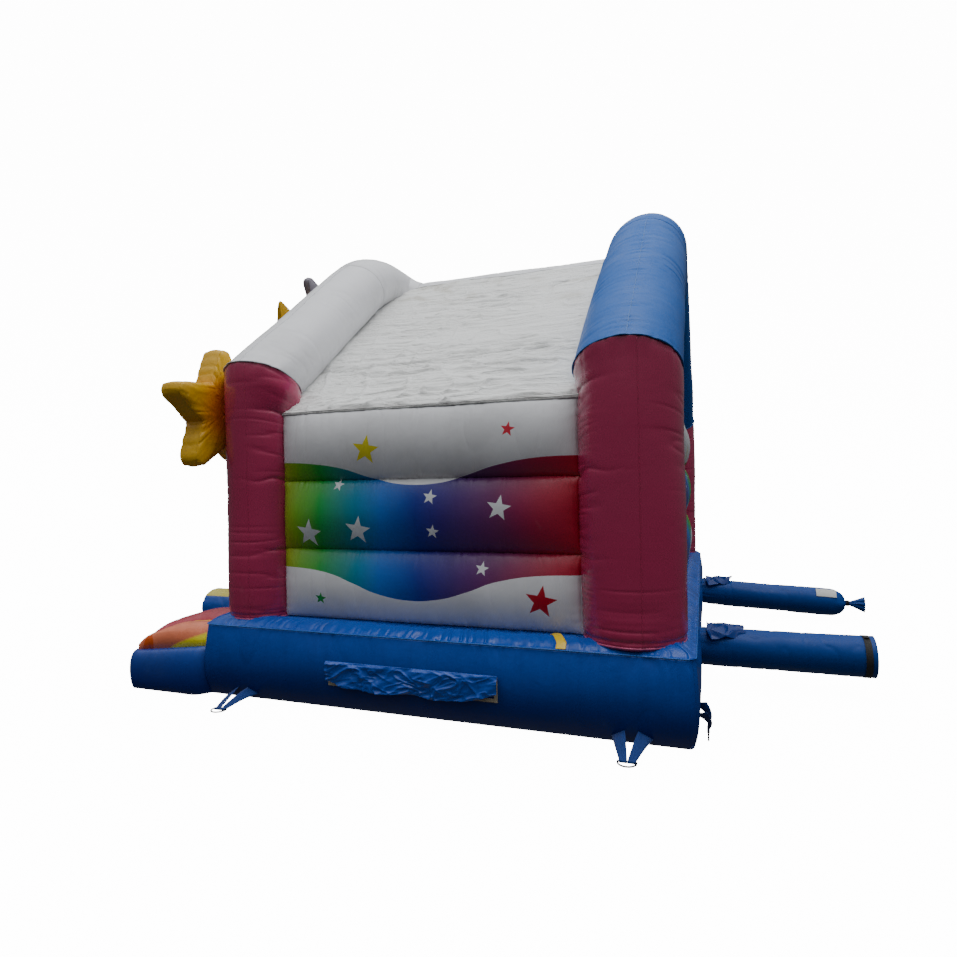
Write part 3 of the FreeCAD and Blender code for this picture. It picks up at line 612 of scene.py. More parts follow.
def bed_side_point(distance, rise):
    """A point of the bed's side: distance round the rim, rise from 0 at the ground to 1."""
    x, y, out_x, out_y = around_block(distance)
    bulge = 0.042 * np.sin(math.pi * rise ** 0.9) * (1 - 0.5 * out_y ** 2)
    tuck = 0.018 * (1 - rise) ** 6
    corner_pull = 0.008 * np.exp(-((np.abs(out_x * out_y) - 0.5) / 0.2) ** 2)
    z = 0.003 + (EDGE_Z - 0.003) * rise
    drop = (1 - rise) * (EDGE_Z - 0.02)
    folds = 0.010 * puckers(distance, drop, 0.030, 0.05, 1)
    folds = folds + 0.008 * puckers(distance, drop, 0.095, 0.16, 6)
    folds = folds * (1 - np.exp(-drop / 0.012))
    folds = folds + 0.006 * puckers(distance, rise * EDGE_Z, 0.06, 0.08, 2)
    slow = 0.007 * noise(distance / 0.55, rise * 1.6, 3) * np.sin(math.pi * rise)
    streak = 0.0035 * ridges(distance / 0.16, rise * 0.7, 4, sharp=5) * np.sin(math.pi * rise)
    by_zip = unit((0.72 - np.abs(distance - ZIP_Y)) / 0.10)
    out = bulge - tuck - corner_pull - folds + slow * (1 - 0.85 * by_zip) - streak
    return np.stack([x + out * out_x, y + out * out_y, z], axis=-1)


def bed_sides():
    side_x = 2 * (BED_X - CORNER)
    side_y = 2 * (BED_Y - CORNER)
    arc = CORNER * math.pi / 2
    start = -side_y / 2 - arc / 2
    for name, length in (("right", side_y), ("back", side_x), ("left", side_y),
                         ("front", side_x)):
        count = int((length + arc) / 0.006)
        distance = np.linspace(start, start + length + arc, count)
        rise, along = crossed(np.linspace(0, 1, 44), distance)
        grid = bed_side_point(along, rise)
        piece = closed_sheet(f"bed_panel_{name}", grid, VINYL, BED_PAINT,
                             replaced=[f"bed_side_{name}"], slot="blue_vinyl")
        rim = bed_side_point(distance, np.full_like(distance, 1.0))
        rim[:, 2] += 0.001
        # The rim's welt, in the lighter blue of a painted highlight.
        welt(f"bed_seam_{name}", rim, WELT, HIGHLIGHT_SEAM_BLUE, slot="blue_vinyl")
        start += length + arc


def block_breaks(half_x, half_y, corner):
    """Distances along a rounded rim at which its straights and arcs begin and end."""
    side_x = 2 * (half_x - corner)
    side_y = 2 * (half_y - corner)
    arc = corner * math.pi / 2
    return np.cumsum([-side_y / 2, side_y, arc, side_x, arc, side_y, arc, side_x, arc])


MARGIN = 0.30
WALL_FOOT = BED_X - high("side_wall_right_low")[0]


def margin_point(distance, inset):
    """A point of the bed's top near its rim: a puffed margin, pleated at both its seams."""
    corner = max(CORNER - inset, 0.012)
    half_x = BED_X - inset
    half_y = BED_Y - inset
    here = np.interp(distance, block_breaks(BED_X, BED_Y, CORNER),
                     block_breaks(half_x, half_y, corner))
    x, y, _, _ = around_block(here, half_x, half_y, corner)
    rise = (CROWN_Z - EDGE_Z) * (1 - math.exp(-inset / 0.035))
    puff = 0.024 * math.exp(-((inset - 0.11) / 0.075) ** 2)
    folds = 0.046 * puckers(distance, inset, 0.040, 0.100, 21)
    folds = folds + 0.012 * puckers(distance + 0.5 * inset, inset, 0.085, 0.14, 22)
    folds = folds + 0.018 * puckers(distance, abs(inset - WALL_FOOT), 0.045, 0.07, 23)
    folds = folds * min(max((MARGIN - inset) / 0.05, 0), 1) * (1 - math.exp(-inset / 0.012))
    slow = 0.005 * noise(distance / 0.35, inset / 0.2, 24) * min(inset / 0.05, 1)
    flat = CROWN_Z - 0.002
    level = EDGE_Z + rise + puff
    share = min(max((inset - 0.22) / 0.08, 0), 1)
    z = level * (1 - share) + flat * share - folds + slow * (1 - share)
    return np.stack([x, y, z], axis=-1)


def bed_margin():
    """The rim of the top sheet, all round the bed."""
    breaks = block_breaks(BED_X, BED_Y, CORNER)
    columns = int((breaks[-1] - breaks[0]) / 0.0055)
    distance = np.linspace(breaks[0], breaks[-1], columns, endpoint=False)
    outer = [margin_point(distance, inset) for inset in np.linspace(0, MARGIN, 30)]
    inner = [ring - np.array([0, 0, VINYL]) for ring in outer[::-1]]
    piece = ring_piece("bed_margin", np.stack(outer + inner), MARGIN_PAINT,
                       replaced=["jumping_bed_sheet"], slot="blue_vinyl")


def bed_floor():
    """The ribbed jumping surface inside the walls."""
    half_x = BED_X - MARGIN + 0.02
    half_y = BED_Y - MARGIN + 0.02
    y, x = crossed(np.linspace(-half_y, half_y, 220), np.linspace(-half_x, half_x, 330))
    pitch = 2 * BED_X / (BAFFLES + 1)
    rib = np.abs(np.sin(math.pi * (x + BED_X) / pitch)) ** 0.6
    inward = np.minimum(half_x - np.abs(x), half_y - np.abs(y))
    hold = unit(inward / 0.10)
    from_seam = np.abs(np.mod((x + BED_X) / pitch + 0.5, 1) - 0.5) * pitch
    folds = 0.010 * puckers(y + 4 * np.round(x / pitch), from_seam, 0.05, 0.07, 26)
    slow = 0.004 * noise(x / 0.3, y / 0.3, 25)
    z = CROWN_Z - 0.006 + hold * (0.030 * rib - 0.010 - folds + slow)
    grid = np.stack([x, y, z], axis=-1)
    piece = closed_sheet("bed_floor", grid, VINYL, BED_PAINT,
                         replaced=["jumping_bed_sheet"], slot="blue_vinyl")


def bed_base():
    """The heavy underside, cut round at its corners and folded up at its edge."""
    breaks = block_breaks(BED_X, BED_Y, CORNER)
    distance = np.linspace(breaks[0], breaks[-1], 900, endpoint=False)
    rings = []
    for tuck, z in ((0.016, 0.020), (0.017, 0.006), (0.024, 0.0), (0.30, 0.0), (1.2, 0.0)):
        x, y, out_x, out_y = around_block(distance)
        shrink = min(tuck, 0.04)
        x = (x - shrink * out_x) * (BED_X - tuck) / (BED_X - shrink)
        y = (y - shrink * out_y) * (BED_Y - tuck) / (BED_Y - shrink)
        rings.append(np.stack([x, y, np.full_like(x, z)], axis=-1))
    inner = [ring + np.array([0, 0, VINYL]) for ring in rings[2:]][::-1]
    grid = np.stack(rings + inner)
    closed_tube("bed_base", grid[::-1], BASE_PAINT, replaced=["bed_underside"],
                slot="heavy_blue_vinyl")


def margin_strip():
    """The yellow strip glued across the margin, from the wall's foot to the seam."""
    distance = np.linspace(low("margin_tab")[1], high("margin_tab")[1], 14)
    grid = np.stack([margin_point(distance, inset) + np.array([0, 0, VINYL])
                     for inset in np.linspace(WALL_FOOT, 0.002, 40)])
    closed_sheet("margin_strip", grid, 0.002, TAB_PAINT, replaced=["margin_tab"],
                 slot="yellow_vinyl")


# ------------------------------------------------------------------ columns and arches

FOOT_SEAM = 0.045


def seam_creases(height, angle, facing, levels, seed):
    """Folds on a column where the wall's seams pull it, deepest facing the wall."""
    turn = np.abs(np.mod(angle - facing + math.pi, TAU) - math.pi)
    total = 0.0
    for index, level in enumerate(levels):
        wander = 0.02 * noise(angle / 0.5, index, seed + index, 12)
        fold = np.exp(-np.abs(height - level - wander) / 0.012)
        total = total + fold * np.exp(-(turn / (0.95 if index % 2 else 0.75)) ** 2)
    return total


def shoulder(end, angle):
    """How far a tube's inner side stands out beyond a circle above the walls."""
    if end is FRONT:
        return 0.055 * unit(np.sin(angle)) ** 2
    return 0.025 * unit(-np.sin(angle)) ** 2


def column_point(end, part, angle, seed):
    """A point of a right-hand column; part runs from 0 at the foot to 1 at the mitre."""
    foot = CROWN_Z - 0.016
    radius = end.radius
    tall = end.eave - foot
    height = foot + tall * part
    levels = SIDE_SEAMS[1:]
    wall_side = math.pi / 2 if end is FRONT else -math.pi / 2
    pull = 0.015 * seam_creases(height, angle, wall_side, levels, seed)
    if end is BACK:
        pull = pull + 0.009 * seam_creases(height, angle, math.pi, BACK_SEAMS[1:], seed + 3)
    from_foot = height - foot
    from_top = end.eave - height
    pull = pull + radius * 0.05 * np.exp(-from_foot / 0.022)
    pull = pull + radius * 0.006 * np.exp(-from_top / 0.006)
    pull = pull + 0.006 * np.exp(-((from_foot - FOOT_SEAM) / 0.008) ** 2)
    cells = int(round(TAU * radius / 0.06))
    near_foot = ridges(angle / TAU * cells, from_foot / 0.12, seed + 6, cells, 3)
    near_top = ridges(angle / TAU * cells, from_top / 0.3, seed + 7, cells, 2)
    pull = pull + 0.008 * near_foot * np.exp(-from_foot / 0.07)
    slack = ridges(angle / TAU * 5, from_foot / 0.045, seed + 12, 5, 5)
    pull = pull + 0.004 * slack * np.exp(-from_foot / 0.10)
    pull = pull + 0.007 * near_top * np.exp(-from_top / 0.06)
    level_folds = ridges(angle / TAU * 3, height / 0.055, seed + 8, 3, 5)
    patches = unit(noise(angle / TAU * 6, height / 0.35, seed + 9, 6) + 0.40)
    pull = pull + 0.0045 * level_folds * patches
    from_side = np.mod(angle + 1.15 + math.pi, TAU) - math.pi
    short = ridges(angle / TAU * 5, height / 0.034, seed + 14, 5, 4)
    pull = pull + 0.0045 * short * np.exp(-(from_side / 0.40) ** 2)
    swell = 0.008 * noise(angle / TAU * 5, height / 0.5, seed + 10, 5)
    above = unit((height - SIDE_SEAMS[-1]) / 0.14)
    hold = unit(from_top / 0.10)
    reach = radius - pull + swell * hold + above * shoulder(end, angle)
    x = reach * np.cos(angle)
    y = reach * np.sin(angle)
    lift = x * math.tan(TILT) * part ** 3
    return np.stack([COLUMN_X + x, end.y + y, height + lift], axis=-1)


def mirrored(grid, side):
    """The grid, mirrored to the left side where side is -1."""
    return grid * np.array([side, 1, 1]) if side < 0 else grid


def end_rings(grid, first, last):
    """Adds shrinking rings at both ends, so that the caps are rounded at their edges."""
    rings = [grid]
    for row, where in ((0, "start"), (-1, "end")):
        ring = grid[row]
        middle = ring.mean(axis=0)
        caps = [middle + (ring - middle) * share for share in (0.96, 0.8, 0.5, 0.2)]
        if where == "start" and first:
            rings = [np.stack(caps[::-1])] + rings
        if where == "end" and last:
            rings = rings + [np.stack(caps)]
    return np.concatenate(rings)


def columns():
    angle = turns(200)
    part, around = crossed(np.linspace(0, 1, 230), angle)
    for end, label in ((FRONT, "front"), (BACK, "back")):
        for name, side, seed in (("right", 1, 30), ("left", -1, 50)):
            seed = seed + (7 if end is BACK else 0)
            grid = column_point(end, part, around, seed)
            grid = mirrored(end_rings(grid, True, True), side)
            piece = closed_tube(f"pink_column_{label}_{name}", grid, PINK_PAINT,
                                replaced=[f"column_{label}_{name}"], slot="pink_vinyl")
            foot = column_point(end, 0 * angle + 0.008, angle, seed)
            foot[:, 2] += 0.002
            welt(f"column_foot_welt_{label}_{name}", mirrored(foot, side), 0.006, SEAM_PINK,
                 closed=True, slot="pink_vinyl")
            edge_angle = 1.53 if end is FRONT else -1.53
            edge = column_point(end, np.linspace(0.0, 0.86, 150), np.full(150, edge_angle), seed)
            welt(f"column_edge_welt_{label}_{name}", mirrored(edge, side), WELT, SEAM_PINK,
                 slot="pink_vinyl")
            seam_angle = np.full(120, 0.25)
            line = column_point(end, np.linspace(0.01, 0.995, 120), seam_angle, seed)
            welt(f"column_seam_{label}_{name}", mirrored(line, side), THIN_WELT, PINK_PAINT,
                 slot="pink_vinyl")


SEAM_ANGLE = 0.06


def arch_point(end, along, angle, seed):
    """A point of an arch; angle 0 is the outer side, a quarter turn is towards +Y."""
    radius = end.radius
    reach_back = 0.9
    near = np.minimum(along, end.length - along)
    fine_cells = int(round(TAU * radius / 0.07))
    outer = 0.5 + 0.5 * np.cos(angle)
    bend = unit((near - end.straight + 0.3) / 0.4)
    cross = ridges(angle / TAU * 6, along / 0.055, seed, 6, 5)
    patches = unit(0.35 + noise(angle / TAU * 6, along / 0.28, seed + 1, 6))
    strength = 0.0085 if end is BACK else 0.0045
    pull = strength * cross * patches * (0.35 + 0.65 * outer)
    inner = ridges(angle / TAU * 10, along / 0.05, seed + 2, 10, 3)
    pull = pull + 0.016 * inner * bend * (1 - outer) ** 1.5
    pull = pull + radius * 0.006 * np.exp(-near / 0.006)
    off_seam = np.abs(np.mod(angle + math.pi, TAU) - math.pi - SEAM_ANGLE)
    by_seam = np.exp(-off_seam * radius / 0.075)
    short = ridges(angle / TAU * 5, along / 0.032, seed + 6, 5, 4)
    pull = pull + (0.012 if end is BACK else 0.006) * short * by_seam
    ends = ridges(angle / TAU * fine_cells, near / 0.3, seed + 3, fine_cells, 2)
    pull = pull + 0.007 * ends * np.exp(-near / 0.06)
    for border in (end.straight, end.length - end.straight):
        pull = pull + 0.004 * np.exp(-((along - border) / 0.012) ** 2)
    swell = 0.007 * noise(angle / TAU * 5, along / 0.45, seed + 5, 5)
    reach = radius - pull + swell * unit(near / 0.10) + shoulder(end, angle)
    fade = unit(1 - near / reach_back) ** 2
    sign = np.where(along < end.length / 2, 1.0, -1.0)
    slid = along - sign * reach * np.cos(angle) * math.tan(TILT) * fade
    x, z, out_x, out_z = end.line(slid)
    x = np.where(slid < 0, COLUMN_X - slid * math.cos(SLOPE), x)
    z = np.where(slid < 0, end.eave + slid * math.sin(SLOPE), z)
    beyond = slid - end.length
    x = np.where(beyond > 0, -COLUMN_X - beyond * math.cos(SLOPE), x)
    z = np.where(beyond > 0, end.eave - beyond * math.sin(SLOPE), z)
    return np.stack([x + reach * np.cos(angle) * out_x, end.y + reach * np.sin(angle),
                     z + reach * np.cos(angle) * out_z], axis=-1)


def arches():
    angle = turns(150)
    for end, label, paint, seam, slot, seed in (
            (FRONT, "front", WHITE_PAINT, SEAM_WHITE, "white_vinyl", 71),
            (BACK, "back", SKY_PAINT, SEAM_SKY, "sky_blue_vinyl", 81)):
        gap = 0.0008
        spans = ((f"rafter_{label}_right", 0, end.straight - gap),
                 (f"crown_{label}", end.straight, end.length - end.straight),
                 (f"rafter_{label}_left", end.length - end.straight + gap, end.length))
        for node, start, stop in spans:
            rows = max(int((stop - start) / 0.011), 20)
            along, around = crossed(np.linspace(start, stop, rows), angle)
            grid = arch_point(end, along, around, seed)
            piece = closed_tube(f"arch_{node}", end_rings(grid, True, True), paint,
                                replaced=[node], slot=slot)
        line_at = np.linspace(0.005, end.length - 0.005, 260)
        line = arch_point(end, line_at, np.full_like(line_at, SEAM_ANGLE), seed)
        welt(f"arch_seam_{label}", line, THIN_WELT, seam, slot=slot)
        for name, where in (("right", 0.0), ("left", end.length)):
            ring = arch_point(end, np.full_like(angle, where), angle, seed)
            spoke = ring - ring.mean(axis=0)
            ring = ring + 0.004 * spoke / np.linalg.norm(spoke, axis=1, keepdims=True)
            welt(f"eave_seam_{label}_{name}", ring, 0.005, seam, closed=True, slot=slot)


# ------------------------------------------------------------------ ridge and roof

RIDGE_Z = centre_of("ridge_tube")[2]
RIDGE_R = half_size("ridge_tube")[0]


def ridge():
    """The tube between the two crowns, flared where it meets the front one."""
    start = FRONT.y + 0.16
    stop = BACK.y - 0.16
    along, angle = crossed(np.linspace(start, stop, 150), turns(96))
    from_front = along - start
    from_back = stop - along
    flare = 0.10 * np.exp(-(from_front / 0.15) ** 2) * unit(np.sin(angle))
    pull = 0.006 * ridges(angle / TAU * 8, along / 0.06, 91, 8, 5)
    pull = pull * unit(0.4 + noise(angle / TAU * 5, along / 0.3, 92, 5))
    pull = pull + 0.004 * np.exp(-((from_front - 0.24) / 0.012) ** 2)
    ends = ridges(angle / TAU * 20, from_front / 0.3, 93, 20, 2)
    pull = pull + 0.008 * ends * np.exp(-np.abs(from_front - 0.24) / 0.06)
    pull = pull + 0.008 * ends * np.exp(-from_back / 0.20)
    reach = RIDGE_R - pull + flare + 0.005 * noise(angle / TAU * 4, along / 0.5, 94, 4)
    grid = np.stack([reach * np.cos(angle), along, RIDGE_Z + reach * np.sin(angle)], axis=-1)
    piece = closed_tube("ridge_roll", end_rings(grid, True, True), WHITE_PAINT,
                        replaced=["ridge_tube"], slot="white_vinyl")
    turn = turns(90)
    ring = np.stack([(RIDGE_R - 0.002) * np.cos(turn), np.full(90, start + 0.24),
                     RIDGE_Z + (RIDGE_R - 0.002) * np.sin(turn)], axis=-1)
    welt("ridge_seam", ring, THIN_WELT, SEAM_WHITE, closed=True, slot="white_vinyl")


WALL_BULGE = 0.075


def roof_paint():
    """Thin pale cloth, stained near the ridge, with fine creases darkened along their lines by
    painted shade.
    """
    paint = Paint("roof_cloth", 0.72, 0.0, 0.1)
    cloth = linear(0.90, 0.90, 0.89)
    near_ridge = paint.ease(paint.z, 2.7, 3.45)
    stain = paint.ease(paint.noise(2.4, 6, 0.65, 0.8, (1, 0.7, 1)), 0.50, 0.74)
    spots = paint.ease(paint.noise(8, 5, 0.7, 0.3), 0.56, 0.80)
    colour = paint.mix(paint.times(stain, paint.times(near_ridge, 0.8)),
                       cloth, linear(0.62, 0.59, 0.50))
    colour = paint.mix(paint.times(spots, 0.22), colour, linear(0.60, 0.60, 0.57))
    folds = paint.noise(5.5, 5, 0.6, 1.6, (1.0, 0.22, 1.0))
    crease = paint.ease(paint.size_of(paint.minus(folds, 0.5)), 0.0, 0.05)
    # Painted shade: a darker grey along the crease lines, patchy where the spots lie.
    crease_shade = paint.minus(1.0, crease)
    colour = paint.mix(paint.times(crease_shade, paint.times(spots, 0.5)), colour,
                       linear(0.48, 0.49, 0.48))
    normal = paint.bump(folds, 0.03, 0.8)
    normal = paint.bump(crease, 0.003, 0.6, normal)
    crumple = paint.noise(22, 4, 0.6, 1.5, (1, 0.5, 1))
    normal = paint.bump(crumple, 0.014, 0.7, normal)
    threads = paint.math("MAXIMUM", paint.wave("X", 45), paint.wave("Y", 45))
    return paint.finish(colour, paint.bump(threads, 0.0003, 0.4, normal))


def roof_point(along, down, seed):
    """A point of the right roof sheet; along runs front to back, down from ridge to wall."""
    grip = math.radians(40)
    top = np.array([0.96 * RIDGE_R * math.cos(grip), RIDGE_Z + 0.96 * RIDGE_R * math.sin(grip)])
    foot = np.array([high("side_wall_right_low")[0] - WALL_BULGE + 0.002, ROOF_FOOT])
    run = np.linalg.norm(foot - top)
    out = np.array([top[1] - foot[1], foot[0] - top[0]]) / run
    front = FRONT.y + 0.10
    back = BACK.y - 0.20
    y = front + (back - front) * along
    sag = -0.035 * np.sin(math.pi * along) * np.sin(math.pi * unit(down))
    length = run * down
    sway = 0.25 * noise(y / 0.9, length / 0.5, seed)
    long_folds = ridges(y / 0.75 + 3 * sway, length / 0.075 + sway * 3 + y * 0.8, seed + 1,
                        sharp=3)
    patches = unit(0.55 + 0.6 * noise(y / 0.6, length / 0.45, seed + 2))
    fine = ridges(y / 0.30 + sway, length / 0.035 - y * 1.2, seed + 3, sharp=3)
    from_corner = np.hypot(y - front, run - length)
    spoke = np.arctan2(run - length, y - front + 1e-9)
    fan = ridges(spoke / 0.11, from_corner / 0.6, seed + 4, sharp=3)
    calm = 1 - 0.5 * np.exp(-((down - 0.35) / 0.3) ** 2)
    criss = ridges(y / 0.20 + sway * 4, length / 0.16 + 2 * sway, seed + 10, sharp=6)
    height = sag + 0.028 * long_folds * patches * calm + 0.013 * fine * patches
    height = height + 0.016 * criss * (0.5 + 0.5 * down)
    height = height + 0.022 * fan * np.exp(-from_corner / 0.50)
    deep = ridges(y / 1.1 + 0.3 * noise(y / 0.4, 0, seed + 7), length / 0.42 - y * 0.14,
                  seed + 8, sharp=14)
    height = height - 0.022 * deep * unit(noise(y / 0.8, length / 0.5, seed + 9) + 0.3)
    height = height + 0.012 * noise(y / 0.5, length / 0.4, seed + 5)
    hold = unit(length / 0.05) * unit((run - length) / 0.03)
    height = 0.002 + height * hold
    edge = np.exp(-unit(run - length) / 0.05)
    height = height + 0.002 * edge * (1 + noise(y / 0.045, 0, seed + 6))
    lip = unit(down - 1) * run
    x = top[0] + (foot[0] - top[0]) * np.minimum(down, 1) + out[0] * height
    z = top[1] + (foot[1] - top[1]) * np.minimum(down, 1) + out[1] * height - lip
    return np.stack([x, y + 0 * x, z], axis=-1)


def roof():
    paint = roof_paint()
    hem = 0.006
    down, along = crossed(np.linspace(0, 1 + hem, 260), np.linspace(0, 1, 330))
    for name, side, seed in (("right", 1, 101), ("left", -1, 121)):
        grid = roof_point(along, down, seed)
        piece = closed_sheet(f"roof_cloth_{name}", mirrored(grid, side), CLOTH, paint,
                             replaced=[f"roof_sheet_{name}"], slot="roof_cloth")
        for label, share in (("top", 0.012), ("foot", 1.0)):
            line = mirrored(roof_point(along[0], np.full_like(along[0], share), seed), side)
            # The top seam's dark welt is painted shade under the ridge tube; the foot seam is a
            # grey welt.
            welt(f"roof_seam_{label}_{name}", line, 0.004 if label == "top" else 0.002,
                 SHADE_LINE_SEAM if label == "top" else SEAM_GREY, slot="roof_cloth")


# ------------------------------------------------------------------ walls

def wall_point(along, section, sizes, levels, ends, seed):
    """A chamber's point in local axes: along the wall, outward, up. section is 0 to 4: the
    outer face from the lower seam up, the top, the inner face down, the bottom."""
    outer, inner, bulge_out, bulge_in = sizes
    lower, upper = levels
    middle = (lower + upper) / 2
    half = (upper - lower) / 2
    part = np.mod(section, 1)
    face = np.floor(section).astype(int) % 4
    from_end = np.minimum(along - ends[0], ends[1] - along)
    puff = rounded(np.clip(from_end, 0, 0.30) / 0.30)
    t = np.where(face == 0, 2 * part - 1, 1 - 2 * part)
    arc = (1 - t ** 2) ** 0.9
    pinch = 0.010 * np.exp(-(1 - np.abs(t)) * half / 0.014)
    out = np.where(face == 0, outer + bulge_out * arc * puff - pinch, 0.0)
    out = np.where(face == 2, inner - bulge_in * arc * puff + pinch, out)
    shelf = outer - 0.010 - (outer - inner - 0.020) * part
    out = np.where(face == 1, shelf, out)
    out = np.where(face == 3, outer + inner - shelf, out)
    up = np.where(face == 0, middle + half * t, 0.0)
    up = np.where(face == 2, middle + half * t, up)
    up = np.where(face == 1, upper, up)
    up = np.where(face == 3, lower, up)
    from_seam = (1 - np.abs(t)) * half
    folds = 0.010 * puckers(along, from_seam, 0.028, 0.050, seed)
    folds = folds + 0.007 * puckers(along, from_seam, 0.10, 0.14, seed + 4)
    side_folds = 0.008 * puckers(up + 3, np.clip(from_end, 0, 9), 0.05, 0.06, seed + 1)
    swell = 0.006 * noise(along / 0.5, up / 0.3, seed + 2) * arc
    wide_folds = 0.0025 * ridges(along / 0.12, up / 0.5, seed + 3, sharp=5) * arc
    change = swell - folds - side_folds - wide_folds
    out = out + np.where(face == 0, change, np.where(face == 2, -change, 0.0))
    return along, out, up


def wall_section_steps():
    face = 0.5 - 0.5 * np.cos(np.linspace(0, 1, 48, endpoint=False) * math.pi)
    shelf = np.linspace(0, 1, 6, endpoint=False)
    return np.concatenate([face, 1 + shelf, 2 + face[::2], 3 + shelf])


def walls():
    outer = high("side_wall_right_low")[0]
    inner = low("side_wall_right_low")[0]
    bulge_out, bulge_in = WALL_BULGE, 0.060
    sizes = (outer - bulge_out, inner + bulge_in, bulge_out, bulge_in)
    seam_x = sizes[0]
    reach_front = math.sqrt(FRONT.radius ** 2 - (seam_x - COLUMN_X) ** 2)
    reach_back = math.sqrt(BACK.radius ** 2 - (seam_x - COLUMN_X) ** 2)
    ends = (FRONT.y + reach_front, BACK.y - reach_back)
    paint = printed_wall("printed_side_wall", "y", ends[0], ends[1] - ends[0], COLUMN_X - 0.08)
    embed = 0.07
    along, section = crossed(np.linspace(ends[0] - embed, ends[1] + embed, 420),
                             wall_section_steps())
    for index, part in enumerate(("low", "middle", "top")):
        levels = [SIDE_SEAMS[index], SIDE_SEAMS[index + 1]]
        if part == "top":
            levels[1] = ROOF_FOOT
        for name, side, seed in (("right", 1, 140), ("left", -1, 150)):
            y, x, z = wall_point(along, section, sizes, levels, ends, seed + 3 * index)
            grid = mirrored(np.stack([x, y, z], axis=-1), side)
            piece = closed_tube(f"wall_{name}_{part}", grid, paint,
                                replaced=[f"side_wall_{name}_{part}"],
                                slot="printed_wall_vinyl")
    outer = high("back_wall_low")[1]
    inner = low("back_wall_low")[1]
    sizes = (outer - bulge_out, inner + bulge_in, bulge_out, bulge_in)
    reach = math.sqrt(BACK.radius ** 2 - (sizes[0] - BACK.y) ** 2)
    end = COLUMN_X - reach
    paint = printed_wall("printed_back_wall", "x", -end, 2 * end, (sizes[0] + sizes[1]) / 2)
    along, section = crossed(np.linspace(-end - embed, end + embed, 600), wall_section_steps())
    for index, part in enumerate(("low", "middle", "top")):
        x, y, z = wall_point(along, section, sizes, BACK_SEAMS[index:index + 2], (-end, end),
                             160 + 3 * index)
        piece = closed_tube(f"wall_back_{part}", np.stack([x, y, z], axis=-1), paint,
                            replaced=[f"back_wall_{part}"], slot="printed_wall_vinyl")


# ------------------------------------------------------------------ ramp

RAMP_FRONT = low("ramp_skin")[1]
RAMP_X = BED_X - 0.004
RAMP_CORNER = 0.11


def rim_height(y):
    """Height of the seam between the ramp's band and its top, rising towards the bed."""
    return 0.250 + 0.080 * unit((y - RAMP_FRONT) / 0.72)


FLARE = 0.19
FLARE_START = -1.98
FLARE_RUN = 0.42


def rib_flare(y):
    """How far the outer rib's seam swings out towards the front corner."""
    return FLARE * unit((FLARE_START - y) / FLARE_RUN)


RIB_EDGES = (2.445, 2.20, 1.83, 1.525, 1.14, 0.76, 0.38, 0.0)


def ramp_rim_point(distance, rise):
    """A point of the ramp's side band; distance runs back from the right rear, round the front."""
    x, y, out_x, out_y = around_block(distance, RAMP_X, 1.0, RAMP_CORNER, RAMP_FRONT + 1.0)
    height = np.minimum(rise, 1) * rim_height(y)
    bulge = 0.090 * np.sqrt(unit(1 - np.minimum(rise, 1) ** 1.6))
    tuck = 0.022 * (1 - rise) ** 8
    folds = 0.010 * puckers(distance, (1 - rise) * 0.28, 0.045, 0.05, 171)
    folds = folds + 0.005 * puckers(distance, rise * 0.28, 0.06, 0.05, 172)
    slow = 0.005 * noise(distance / 0.4, rise * 1.5, 173) * np.sin(math.pi * rise)
    joint = 0.10 * unit((y + BED_Y + 0.07) / 0.12) ** 2
    lip = np.clip(rise - 1, 0, None)
    out = np.where(lip > 0, -0.012 - lip, bulge - tuck - folds + slow) - joint
    front = 0.5 * out - 0.14 * unit(1 - rise) ** 2
    return np.stack([x + out * out_x, y + front * out_y, 0.003 + height - 0.1 * lip], axis=-1)


def ramp_top_point(x, y):
    """The ramp's ribbed top: ribs run up the slope, each a rounded roll."""
    start = RAMP_FRONT + 0.010
    back = -BED_Y + 0.06
    share = unit((y - start) / (back - start))
    rim = rim_height(y)
    base = rim + 0.005 + (EDGE_Z - 0.055 - rim) * share
    crest = np.zeros_like(x)
    size = np.abs(x)
    swung = size - rib_flare(y) * unit((size - 1.5) / 0.5)
    for outer, inner in zip(RIB_EDGES[:-1], RIB_EDGES[1:]):
        part = unit((swung - inner) / (outer - inner))
        inside = (swung >= inner) & (swung <= outer)
        tall = 0.045 if outer == RIB_EDGES[0] else 0.085
        crest = np.where(inside, tall * np.sqrt(unit(1 - (2 * part - 1) ** 2)), crest)
    nose = (1 - (1 - unit((y - start) / 0.17)) ** 2) ** 0.62
    edge = rounded((BED_X - 0.020 - size) / 0.12)
    plump = 0.045 * nose * unit((-BED_Y - y) / 0.3)
    rise = (base - rim) * edge + (crest + plump) * nose * np.minimum(2 * edge, 1)
    folds = 0.006 * puckers(x + 5, np.abs(y - start), 0.04, 0.07, 181)
    folds = folds + 0.004 * ridges(x / 0.15, y / 0.05, 182, sharp=4) * (0.4 + 0.6 * share)
    folds = folds + 0.004 * ridges(x / 0.3, y / 0.11, 183, sharp=4)
    return rim + rise - folds * unit((y - start) / 0.05)


